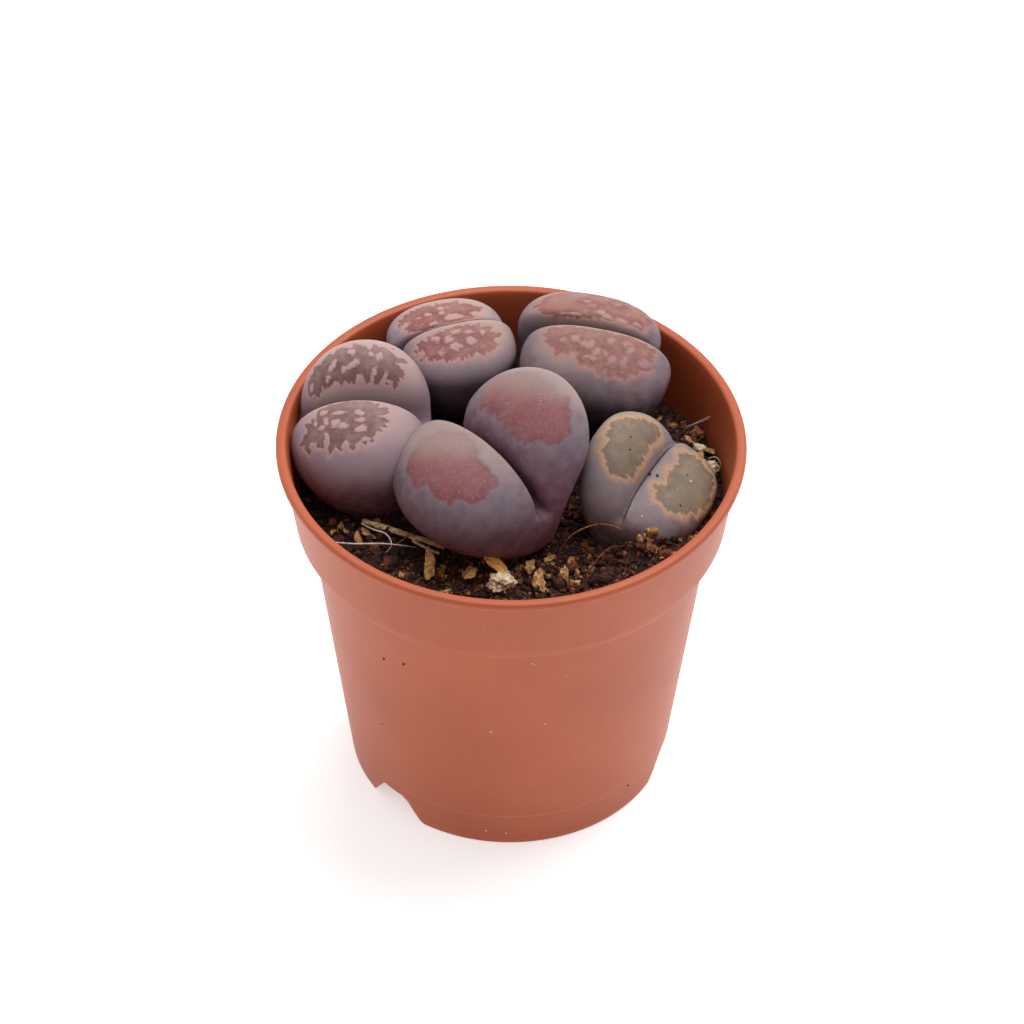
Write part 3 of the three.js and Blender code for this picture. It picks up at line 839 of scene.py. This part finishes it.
# Painted highlight: near the crown, and more on the side towards the light, the skin takes the lit top
# colour.
top = ease(skin, calculate(skin, "MULTIPLY_ADD", given["Towards light"], 0.09, rise), 0.6, 1.4)
side = mix_colours(skin, high, given["Low side"], given["High side"])
side = mix_colours(skin, top, side, given["Top"])
mottle = ease(skin, patch, 0.25, 0.75)
side = mix_colours(skin, calculate(skin, "MULTIPLY", mottle, 0.3), side, tone(0x9C8A90))

ragged = calculate(skin, "MULTIPLY_ADD", fine, 0.3, -0.15)
depth = calculate(skin, "ADD", given["Window"], ragged)
inside = ease(skin, depth, calculate(skin, "MULTIPLY", given["Softness"], -1), given["Softness"])
flush = ease(skin, depth, calculate(skin, "MULTIPLY", given["Margin width"], -1), 0.0)
flush = calculate(skin, "MULTIPLY", flush, given["Margin strength"])
flush = calculate(skin, "MULTIPLY", flush, ease(skin, patch, 0.2, 0.6, 0.55, 1.0))

deep = ease(skin, calculate(skin, "MULTIPLY_ADD", patch, 1.2, depth), 0.4, 2.4)
clear = mix_colours(skin, deep, given["Window edge"], given["Window middle"])
clear = mix_colours(skin, ease(skin, patch, 0.35, 0.8, 0.0, 0.3), clear, given["Margin"])
# Painted sheen: the windows on the side towards the light turn to the lit top colour, a painted reflection of
# the bright sky.
painted_sheen = ease(skin, calculate(skin, "MULTIPLY_ADD", broad, 3, given["Towards light"]), 1.2, 5.2)
clear = mix_colours(skin, calculate(skin, "MULTIPLY", painted_sheen, given["Painted sheen"]), clear, given["Top"])
cells = put(skin, "TexVoronoi", None, {"Vector": put(skin, "TexCoord").outputs["Object"], "Scale": 1300})
lot = put(skin, "SeparateColor", None, {"Color": cells.outputs["Color"]}).outputs["Red"]
chosen = calculate(skin, "LESS_THAN", lot, given["Dot share"])
dots = calculate(skin, "MULTIPLY", chosen, ease(skin, cells.outputs["Distance"], 0.03, 0.22, 0.5, 0.0))
clear = mix_colours(skin, dots, clear, given["Dots"])
clear = mix_colours(skin, ease(skin, fine, 0.45, 0.7, 0.0, 0.1), clear, given["Dots"])

colour = mix_colours(skin, flush, side, given["Margin"])
colour = mix_colours(skin, inside, colour, clear)
colour = mix_colours(skin, ease(skin, speck, 0.3, 0.7, 0.0, 0.22), colour, tone(0x8A8284), "SOFT_LIGHT")
# Painted shade: a thin dark line along the slit, above the height where the leaves are fused.
slit_top = calculate(skin, "ADD", given["Slit end"], 0.001)
above = ease(skin, height_over_table(skin), given["Slit end"], slit_top)
painted_slit_shade = ease(skin, calculate(skin, "ABSOLUTE", given["From slit"]), 0.05, 0.16, 0.85, 0.0)
colour = mix_colours(skin, calculate(skin, "MULTIPLY", painted_slit_shade, above), colour, tone(0x2A1C20))
skin.links.new(colour, result["Colour"])
rough = calculate(skin, "MULTIPLY_ADD", fine, 0.3, inside)
skin.links.new(ease(skin, rough, 0, 1.3, 0.68, 0.6), result["Roughness"])
height = calculate(skin, "MULTIPLY_ADD", inside, -0.6, calculate(skin, "MULTIPLY", fine, 0.35))
skin.links.new(height, result["Height"])

SKINS = {
    "lithops_left": (
        (0x543747, 0x8E757D, 0xAA9290, 0xB38C86, 0x6A4A46, 0x79605A, 0xB08A78),
        (1.2, 0.7, 0.18, 0.35, 0.1),
    ),
    "lithops_back_left": (
        (0x624653, 0x87757D, 0xA58F85, 0xB2857C, 0x7C4548, 0x8D6457, 0xB88670),
        (1.1, 0.7, 0.22, 0.35, 0.15),
    ),
    "lithops_back_right": (
        (0x33202A, 0x6D5B61, 0x9E8880, 0xA87566, 0x7A4A4A, 0x90665C, 0xB5826E),
        (1.2, 0.55, 0.45, 0.45, 0.15),
    ),
    "lithops_centre": (
        (0x6C4254, 0x6E5E68, 0x958079, 0x807078, 0x784548, 0x874F51, 0xC09A8C),
        (1.2, 0.5, 0.3, 0.8, 0.4),
    ),
    "lithops_right": (
        (0x42302A, 0x857779, 0x8E8070, 0xB08A68, 0x6E5E50, 0x766A5C, 0x4A3A3C),
        (1.3, 0.95, 0.2, 0.1, 0.12),
    ),
}
for name, plant in PLANTS.items():
    colours, amounts = SKINS[name]
    skin_material, tree = new_material(name + "_skin")
    look = put(tree, "Group", {"node_tree": skin}, {
        "Window": attribute(tree, "window"), "Crown": attribute(tree, "crown"),
        "Towards light": attribute(tree, "towards_light"), "From slit": attribute(tree, "from_slit"),
        "Slit end": (SOIL_LEVEL + min(plant["fused"])) * MM,
        **dict(zip(SKIN_COLOURS, map(tone, colours))), **dict(zip(SKIN_AMOUNTS, amounts)),
    }).outputs
    dress(tree, {
        "Base Color": look["Colour"], "Roughness": look["Roughness"], "Specular IOR Level": 0.3,
        "Subsurface Weight": 0.4, "Subsurface Radius": (1.0, 0.6, 0.55), "Subsurface Scale": 0.002,
    }, look["Height"], 0.35, 0.0001)
    finished_piece(name + "_plant", grown_plant(name, plant), skin_material, name + "_skin", name)


# Grit and dust: grains of peat and of pale dust that stuck to the right plant, each under half a
# millimetre across. They are dry and lie on the skin.
right_plant = PLANTS["lithops_right"]["tree"]
finished_piece("dark_grit", specks("dark_grit", right_plant, [
    (13.9, -1.84, 50.6, 0.11), (13.8, -3.41, 50.04, 0.11), (16.07, -3.9, 46.6, 0.19),
    (17.02, -3.79, 46.23, 0.17), (20.57, -2.46, 45.14, 0.09), (19.73, -6.96, 44.51, 0.11),
]), grit_black, "potting_soil")
finished_piece("white_dust", specks("white_dust", right_plant, [
    (20.99, -3.25, 44.82, 0.13), (15.21, -9.56, 45.14, 0.11), (19.39, -5.0, 45.19, 0.08),
]), dust_white, "pale_crumb")


# Peat: the pot is filled with dark, coarse, loose peat up to a centimetre under the rim. It was
# pressed in by hand round the plants, and lies higher at the front right and along the right wall.
LUMP_HEIGHT = 1.1
LUMP_SPACING = 2.6
PEAT_BOTTOM = floor_top + 0.3
PEAT_CLEARANCE = 0.4
PEAT_STEP = 0.33
PEAT_SIDES = 300
# Of each mound, its middle, its reach and its rise.
MOUNDS = ((16.5, -10.5, 6.2, 4.7), (23, 5, 5, 1.7), (1, -17, 6, 0.9), (-17, -10, 4, 0.6))


def lump(x, y, spacing, seed):
    """A smooth random height from 0 to 1, out of fixed values at the crossings of a square lattice."""
    def crossing(column, row):
        wave = math.sin(column * 127.1 + row * 311.7 + seed * 74.7) * 43758.5453
        return wave - math.floor(wave)
    column, row = math.floor(x / spacing), math.floor(y / spacing)
    s, t = smooth_step(x / spacing - column), smooth_step(y / spacing - row)
    near = crossing(column, row) * (1 - s) + crossing(column + 1, row) * s
    far = crossing(column, row + 1) * (1 - s) + crossing(column + 1, row + 1) * s
    return near * (1 - t) + far * t


def peat_height(x, y):
    """How high the peat lies: lumps of three sizes, the mounds, and never under the pot's ledge."""
    broad = lump(x, y, 2.4 * LUMP_SPACING, 3) - 0.5
    height = SOIL_LEVEL + LUMP_HEIGHT * (broad + 0.9 * (lump(x, y, LUMP_SPACING, 11) - 0.5))
    for middle_x, middle_y, reach, rise in MOUNDS:
        height += rise * math.exp(-((x - middle_x) ** 2 + (y - middle_y) ** 2) / reach ** 2)
    height += 0.5 * noise.noise(Vector((x, y, 5.0))) + 0.25 * noise.noise(Vector((x, y, 9.0)) * 2.6)
    return max(height, INNER_LEDGE + 0.3)


def in_a_plant(place, margin=0.0):
    """Whether a place is inside a plant, or nearer to one than a margin."""
    for plant in PLANTS.values():
        near, normal, _, _ = plant["tree"].find_nearest(place)
        if (place - near).dot(normal) < 0 or (place - near).length < margin:
            return True
    return False


peat_edge = collar_radius(SOIL_LEVEL) - WALL - 0.05
peat_profile = [
    (0, PEAT_BOTTOM),
    (wall_radius(PEAT_BOTTOM) - WALL - PEAT_CLEARANCE, PEAT_BOTTOM),
    (WALL_TOP_RADIUS - WALL - PEAT_CLEARANCE, INNER_LEDGE - PEAT_CLEARANCE),
    (WALL_TOP_RADIUS - WALL - PEAT_CLEARANCE, INNER_LEDGE + 0.05),
    (peat_edge - 0.2, INNER_LEDGE + 0.05),
    (peat_edge, SOIL_LEVEL),
]
rings = round(peat_edge / PEAT_STEP)
peat_profile += [(peat_edge * (1 - ring / rings), SOIL_LEVEL) for ring in range(1, rings + 1)]
peat_mesh = turned(peat_profile, PEAT_SIDES)
for vert in peat_mesh.verts:
    if vert.co.z > SOIL_LEVEL - 0.01:
        vert.co.z = peat_height(vert.co.x, vert.co.y)

# The peat's colours run from wet black through red brown to straw yellow and cream. Each crumb has
# its own place on that run, kept in the attribute "shade".
peat_dark, tree = new_material("peat")
mottle = noise_over(tree, 2600, 5)
shade = calculate(tree, "ADD", attribute(tree, "shade"), calculate(tree, "MULTIPLY_ADD", mottle, 0.9, -0.45))
colour = ramp(
    tree, shade, (0.0, 0x30201C), (0.25, 0x412820), (0.45, 0x663324), (0.6, 0x8A5236), (0.72, 0xA8733C),
    (0.85, 0xC89A58), (1.0, 0xE8D2A8),
)
rugged = calculate(tree, "MULTIPLY_ADD", mottle, 1.5, noise_over(tree, 7000, 2))
dress(tree, {"Base Color": colour, "Roughness": 0.8, "Specular IOR Level": 0.3}, rugged, 1.0, 0.0003)
finished_piece("peat_bed", mesh_of(peat_mesh, "peat_bed"), peat_dark, "potting_soil", "soil")


# Peat crumbs: thousands of loose grains and small lumps of peat, bark and dead moss on top of the
# bed. Most are nearly black, and more of them are brown or yellow at the front and the right wall.
def strewn(chance, reach):
    """A random place over the peat, as far as a reach: how far from the middle it is, and where."""
    radius, turn = reach * math.sqrt(chance.random()), chance.uniform(0, 2 * math.pi)
    return radius, radius * math.cos(turn), radius * math.sin(turn)


def grains(name, count, subdivisions, radii, seed):
    """Scattered crumbs as one mesh: so many, of how many subdivisions, in what range of radius."""
    chance = random.Random(seed)
    kinds = []
    for kind in range(6):
        stone = bmesh.new()
        bmesh.ops.create_icosphere(stone, subdivisions=subdivisions, radius=1)
        for vert in stone.verts:
            vert.co *= 1 + 0.9 * noise.noise(vert.co * 1.9 + Vector((kind * 9.0, seed, 0)))
        kinds.append((mesh_of(stone, "crumb"), Matrix.Identity(4)))
    heap, shades = bmesh.new(), []
    while count:
        radius, x, y = strewn(chance, peat_edge)
        size = radii[0] + (radii[1] - radii[0]) * chance.random() ** 2.5
        z = peat_height(x, y) + size * chance.uniform(-0.2, 0.9)
        if radius + size > peat_edge or in_a_plant(Vector((x, y, z))):
            continue
        light = 0.30 * noise.noise(Vector((x, y, 20)) * 0.35) + 0.12 * (y < -11) + 0.15 * (x > 19)
        light += 0.12 * (x > 4 and y < -8)
        shades.append(min(max(chance.random() ** 2.3 * 0.62 + light, 0), 0.85))
        stretch = [size * chance.uniform(0.6, 1.4) for _ in range(3)]
        tumble = Matrix.Rotation(chance.uniform(0, 6.3), 4, "X")
        tumble = tumble @ Matrix.Rotation(chance.uniform(0, 6.3), 4, "Z")
        where = Matrix.Translation((x, y, z)) @ tumble @ Matrix.Diagonal((*stretch, 1))
        kind = chance.randrange(len(kinds))
        stone, last = kinds[kind]
        stone.transform(where @ last.inverted())
        kinds[kind] = (stone, where)
        heap.from_mesh(stone)
        count -= 1
    mesh = mesh_of(heap, name)
    each = len(kinds[0][0].vertices)
    set_attribute(mesh, "shade", [value for value in shades for _ in range(each)])
    return mesh


fine_crumbs = grains("peat_crumbs_fine", 9500, 1, (0.12, 0.42), 5)
finished_piece("peat_crumbs_fine", fine_crumbs, peat_dark, "potting_soil", smooth=False)
coarse_crumbs = grains("peat_crumbs_coarse", 1900, 2, (0.22, 0.65), 8)
finished_piece("peat_crumbs_coarse", coarse_crumbs, peat_dark, "potting_soil")


# Roots and threads: dried fine roots and bits of moss stalk that stick out of the peat or lie over
# it, pale grey, tan or red brown, each a bent hair three tenths of a millimetre thick or less.
ROOTS_REACH = 24.0


def strands(name, lines, shade, sides=1, thinner=0.55):
    """Bent round strands as one mesh. Each line is its thickness and the places it goes through."""
    curve = bpy.data.curves.new(name, "CURVE")
    curve.dimensions = "3D"
    curve.bevel_depth = 1.0
    curve.bevel_resolution = sides
    curve.use_fill_caps = True
    for thickness, places in lines:
        spline = curve.splines.new("NURBS")
        spline.points.add(len(places) - 1)
        spline.use_endpoint_u = True
        spline.order_u = 4
        spline.resolution_u = 5
        for index, (point, place) in enumerate(zip(spline.points, places)):
            share = index / (len(places) - 1)
            point.co = (*place, 1)
            point.radius = thickness / 2 * (1 - thinner * abs(2 * share - 0.8) ** 2)
    mesh = with_modifiers(curve, [])
    set_attribute(mesh, "shade", [shade] * len(mesh.vertices))
    return mesh


def stray_roots(count, seed):
    """Short bent roots, strewn over the peat."""
    chance, lines = random.Random(seed), []
    while len(lines) < count:
        _, x, y = strewn(chance, ROOTS_REACH)
        spot = Vector((x, y, 0))
        heading, places = chance.uniform(0, 2 * math.pi), []
        for _ in range(chance.randint(4, 7)):
            lift = chance.uniform(0.15, 0.7)
            places.append(Vector((spot.x, spot.y, peat_height(spot.x, spot.y) + lift)))
            heading += chance.uniform(-0.7, 0.7)
            spot += Vector((math.cos(heading), math.sin(heading), 0)) * chance.uniform(0.4, 0.9)
        if all(p.xy.length < peat_edge - 0.4 and not in_a_plant(p, 0.15) for p in places):
            lines.append((chance.uniform(0.07, 0.16), places))
    return lines


white_threads = strands("white_threads", [
    (0.24, [(-21.0, -15.6, 46.5), (-18.9, -12.9, 43.6), (-17.2, -11.3, 42.0), (-15.6, -10.7, 41.6),
            (-13.6, -10.4, 41.2), (-10.9, -10.3, 40.6)]),
    (0.22, [(-17.4, -6.4, 40.6), (-16.0, -7.8, 40.9), (-14.9, -8.1, 41.0), (-14.2, -8.8, 41.0),
            (-13.8, -10.1, 41.2), (-13.8, -10.8, 41.0), (-14.5, -11.0, 40.4)]),
    (0.16, [(23.2, 4.5, 41.2), (24.0, 4.4, 41.9), (24.5, 4.0, 42.0), (24.7, 3.4, 41.2)]),
], 0.0, sides=2)
tan_roots = strands("tan_roots", [
    (0.18, [(5.5, -10.8, 39.8), (5.9, -11.1, 41.6), (6.8, -11.0, 43.2), (7.6, -10.9, 43.9),
            (9.1, -10.6, 44.6), (10.5, -10.3, 44.7), (11.8, -10.3, 44.4), (13.1, -10.4, 43.8),
            (14.2, -10.8, 43.0), (14.9, -11.3, 41.6)]),
    (0.20, [(-10.7, -7.8, 41.0), (-12.1, -9.2, 41.3), (-13.3, -10.3, 41.0), (-14.7, -11.1, 40.3)]),
    *stray_roots(45, 3),
], 0.62, sides=2)
brown_roots = strands("brown_roots", [
    (0.22, [(8.8, -14.9, 40.4), (9.2, -14.4, 41.2), (9.8, -13.8, 41.9), (10.8, -12.7, 42.4),
            (11.8, -11.9, 42.6), (13.1, -11.6, 42.4), (14.1, -11.7, 42.0), (14.7, -12.1, 41.0)]),
    (0.16, [(11.2, -12.5, 40.7), (12.3, -12.6, 41.5), (13.5, -12.9, 41.4), (14.8, -12.8, 40.9)]),
    (0.28, [(14.8, -11.2, 44.5), (14.9, -11.6, 43.0), (15.1, -12.6, 40.9)]),
    (0.30, [(19.5, 11.5, 39.8), (20.1, 10.4, 40.6), (20.9, 10.4, 40.5), (21.6, 10.8, 39.8)]),
    *stray_roots(60, 4),
], 0.5, sides=2)
pale_thread, tree = new_material("pale_thread")
colour = mix_colours(tree, ease(tree, noise_over(tree, 1200, 3), 0.3, 0.7), tone(0xD8CDC6), tone(0xB39A8C))
dress(tree, {"Base Color": colour, "Roughness": 0.6})
finished_piece("white_threads", white_threads, pale_thread, "straw")
finished_piece("tan_roots", tan_roots, peat_dark, "potting_soil")
finished_piece("brown_roots", brown_roots, peat_dark, "potting_soil")


# Straws: two dry stalks of grass, tan and flecked. The front one lies against the middle plant, broken
# near its end and split along its lower side. The back one leans on the wall of the pot.
def dry_stuff(name, dark, middle, light, roughness=0.7):
    """A material for dry plant stuff: blotched in three colours, with a fibrous surface."""
    material, tree = new_material(name)
    fleck = noise_over(tree, 4200, 2)
    base = mix_colours(tree, ease(tree, noise_over(tree, 1500, 4), 0.35, 0.65), tone(middle), tone(light))
    base = mix_colours(tree, ease(tree, fleck, 0.56, 0.66, 0.0, 0.85), base, tone(dark))
    dress(tree, {"Base Color": base, "Roughness": roughness}, fleck, 0.7, 0.00015)
    return material


def stalk(name, thickness, flatness, unevenness, *places):
    """A dry stalk: a round strand pressed a little flat, with an uneven skin."""
    mesh = with_modifiers(strands(name, [(thickness, places)], 0.0, sides=6, thinner=0.1), [
        ("SUBSURF", {"levels": 1, "render_levels": 1}),
    ])
    start = Vector(places[0])
    for vert in mesh.vertices:
        vert.co += vert.normal * unevenness * noise.noise(vert.co * 3.0)
    flat = Matrix.Diagonal((1, 1, flatness, 1))
    mesh.transform(Matrix.Translation(start) @ flat @ Matrix.Translation(-start))
    return mesh


straw_flecked = dry_stuff("straw_flecked", 0x4A3020, 0x9A7650, 0xCDB083)
front_straw = bmesh.new()
for part in (
    ("blade", 0.85, 0.7, 0.12,
     (-17.3, -5.7, 40.3), (-15.5, -6.4, 40.4), (-13.0, -7.6, 40.6), (-10.6, -8.9, 40.6)),
    ("tip", 0.75, 0.6, 0.16,
     (-11.0, -8.8, 40.7), (-9.8, -9.3, 40.8), (-8.8, -9.8, 40.7), (-7.6, -10.3, 40.6)),
    ("splinter", 0.40, 0.6, 0.10,
     (-11.4, -8.9, 40.3), (-10.3, -9.9, 40.5), (-9.3, -10.6, 40.5), (-8.3, -11.0, 40.3)),
    ("fray", 0.22, 0.8, 0.05, (-9.4, -9.5, 40.9), (-8.4, -10.1, 41.0), (-7.5, -10.0, 41.0)),
):
    front_straw.from_mesh(stalk(*part))
finished_piece("front_straw", mesh_of(front_straw, "front_straw"), straw_flecked, "straw", "straw_front")
straw_grey = dry_stuff("straw_grey", 0x6A4C44, 0xA8887C, 0xC9ACA0)
BACK_STRAW_ROOT, BACK_STRAW_TIP = Vector((20.7, 10.9, 40.2)), Vector((24.4, 9.4, 44.9))
back_straw = stalk(
    "back_straw", 0.46, 0.9, 0.05, BACK_STRAW_ROOT, (21.7, 10.6, 41.0), (23.0, 10.2, 42.4), (24.0, 9.8, 43.7),
    BACK_STRAW_TIP,
)
for vert in back_straw.vertices:
    share = min(max((vert.co.z - 40) / 4.8, 0), 1)
    near = BACK_STRAW_ROOT.lerp(BACK_STRAW_TIP, share)
    vert.co = near + (vert.co - near) * (0.55 + 0.75 * share)
finished_piece("back_straw", back_straw, straw_grey, "straw", "straw_back")


# Husk and bark: chips of bark and a pointed seed husk, dry, golden brown with paler edges, curled
# and broken, that lie in the peat before and beside the plants.
def chip(name, at, length, width, thickness, turn, tip, curl, taper, seed, rough=0.3):
    """A flat curled chip. Its turn is on the table, its tip up from level, in degrees."""
    flake = bmesh.new()
    bmesh.ops.create_icosphere(flake, subdivisions=4, radius=0.5)
    for vert in flake.verts:
        x, y, z = vert.co * 2
        narrow = 1 - taper * max(x, 0) ** 1.2
        ragged = 1 + 1.6 * rough * noise.noise(Vector((x * 1.5, y * 1.5, seed)))
        y *= narrow * ragged
        z += curl * (x * x * length / thickness * 0.5 + y * y * width / thickness * 0.8)
        z += rough * noise.noise(Vector((x * 2.4, y * 2.4, seed + 7))) * width / thickness
        vert.co = Vector((x * length * ragged, y * width, z * thickness)) / 2
    lay = Matrix.Rotation(math.radians(turn), 4, "Z") @ Matrix.Rotation(math.radians(-tip), 4, "Y")
    bmesh.ops.transform(flake, verts=flake.verts, matrix=lay)
    bmesh.ops.translate(flake, verts=flake.verts, vec=at)
    return mesh_of(flake, name)


husk_ochre = dry_stuff("husk_ochre", 0x7A4418, 0xC07C2C, 0xDB9E42, 0.5)
bark_gold = dry_stuff("bark_gold", 0x4A2C18, 0x94683A, 0xC59A5E)
husk = chip("husk", (-2.1, -13.7, 41.8), 5.2, 1.7, 0.55, 142, 26, 0.22, 0.85, 3, rough=0.16)
finished_piece("husk", husk, husk_ochre, "husk", "husk_front")
for node, name, *shape in (
    ("bark_upright", "chip_upright", (-9.4, -13.3, 40.6), 3.6, 1.5, 0.7, 88, 40, 0.3, 0.1, 11),
    ("bark_front", "chip_yellow", (2.3, -13.4, 40.7), 1.7, 1.2, 0.8, 70, 35, 0.1, 0.2, 17),
    ("bark_left", "chip_left", (-4.6, -14.2, 40.2), 2.2, 1.3, 0.6, 30, 20, 0.2, 0.5, 23),
    ("bark_right", "chip_right", (6.3, -14.5, 40.5), 2.0, 1.1, 0.6, 100, 45, 0.2, 0.2, 31),
):
    finished_piece(name, chip(name, *shape), bark_gold, "bark", node)
chance = random.Random(77)
loose_chips = bmesh.new()
for x, y, lift, length, turn, tip in (
    (3.4, -15.8, 0.9, 3.2, 100, 35), (-8.1, -16.4, 0.5, 2.6, 10, 10), (-19.9, -5.6, 0.8, 1.5, 60, 30),
    (-19.3, -6.3, 0.9, 1.4, 120, 20), (-21.0, -6.9, 0.8, 1.3, 20, 30), (-18.5, -5.6, 0.9, 0.9, 40, 60),
    (-17.8, -8.6, 0.9, 2.0, 115, 40), (-16.8, -7.4, 0.7, 1.7, 140, 10), (4.6, -11.5, 1.0, 1.5, 20, 10),
    (20.9, 7.9, 0.9, 1.4, 150, 30), (22.0, 6.8, 1.0, 1.5, 130, 10), (22.4, 5.4, 1.0, 1.3, 100, 30),
    (23.4, 5.9, 1.0, 1.4, 170, 20), (17.6, 13.4, 0.6, 0.9, 40, 20), (-5.2, -13.4, 0.8, 1.3, 120, 30),
):
    loose_chips.from_mesh(chip(
        "loose", (x, y, peat_height(x, y) + lift * 0.6), length, length * chance.uniform(0.4, 0.6),
        length * 0.22, turn, tip, chance.uniform(0.1, 0.5), chance.uniform(0, 0.5), chance.uniform(0, 90),
    ))
finished_piece("loose_chips", mesh_of(loose_chips, "loose_chips"), bark_gold, "bark")


# Pale crumbs: a cream lump of expanded volcanic glass at the front, and cream grains of the same by
# the right wall. Each is a cluster of small bubbles, brittle and matt.
def perlite(name, at, radius, seed, detail):
    """A lump of frothy glass, knobbly and pitted."""
    stone = bmesh.new()
    bmesh.ops.create_icosphere(stone, subdivisions=detail, radius=1)
    for vert in stone.verts:
        cells = noise.voronoi(vert.co * 2.6 + Vector((seed, 0, 0)))[0]
        pits = noise.voronoi(vert.co * 6.5 + Vector((0, seed, 0)))[0]
        shape = 1 + 0.5 * noise.noise(vert.co * 1.2 + Vector((0, 0, seed)))
        vert.co *= radius * (shape + 0.45 * (0.45 - cells[0]) + 0.2 * (0.4 - pits[0]))
    bmesh.ops.scale(stone, verts=stone.verts, vec=(1.15, 0.95, 0.8))
    bmesh.ops.translate(stone, verts=stone.verts, vec=at)
    return mesh_of(stone, name)


cream, tree = new_material("cream_grain")
colour = mix_colours(tree, ease(tree, noise_over(tree, 1400, 4), 0.3, 0.65), tone(0x9C8464), tone(0xE6D3B2))
dirt = ease(tree, noise_over(tree, 3600, 2), 0.58, 0.68, 0.0, 0.8)
dress(tree, {"Base Color": mix_colours(tree, dirt, colour, tone(0x5C4630)), "Roughness": 0.75})
for node, name, *shape in (
    ("perlite_front", "cream_lump", (-1.0, -16.0, 40.6), 1.35, 4.0, 5),
    ("crumb_back", "grain_back", (22.2, 6.3, 41.2), 0.7, 9.0, 4),
    ("crumb_right", "grain_right", (23.6, 2.9, 41.3), 0.85, 15.0, 4),
):
    finished_piece(name, perlite(name, *shape), cream, "pale_crumb", node)
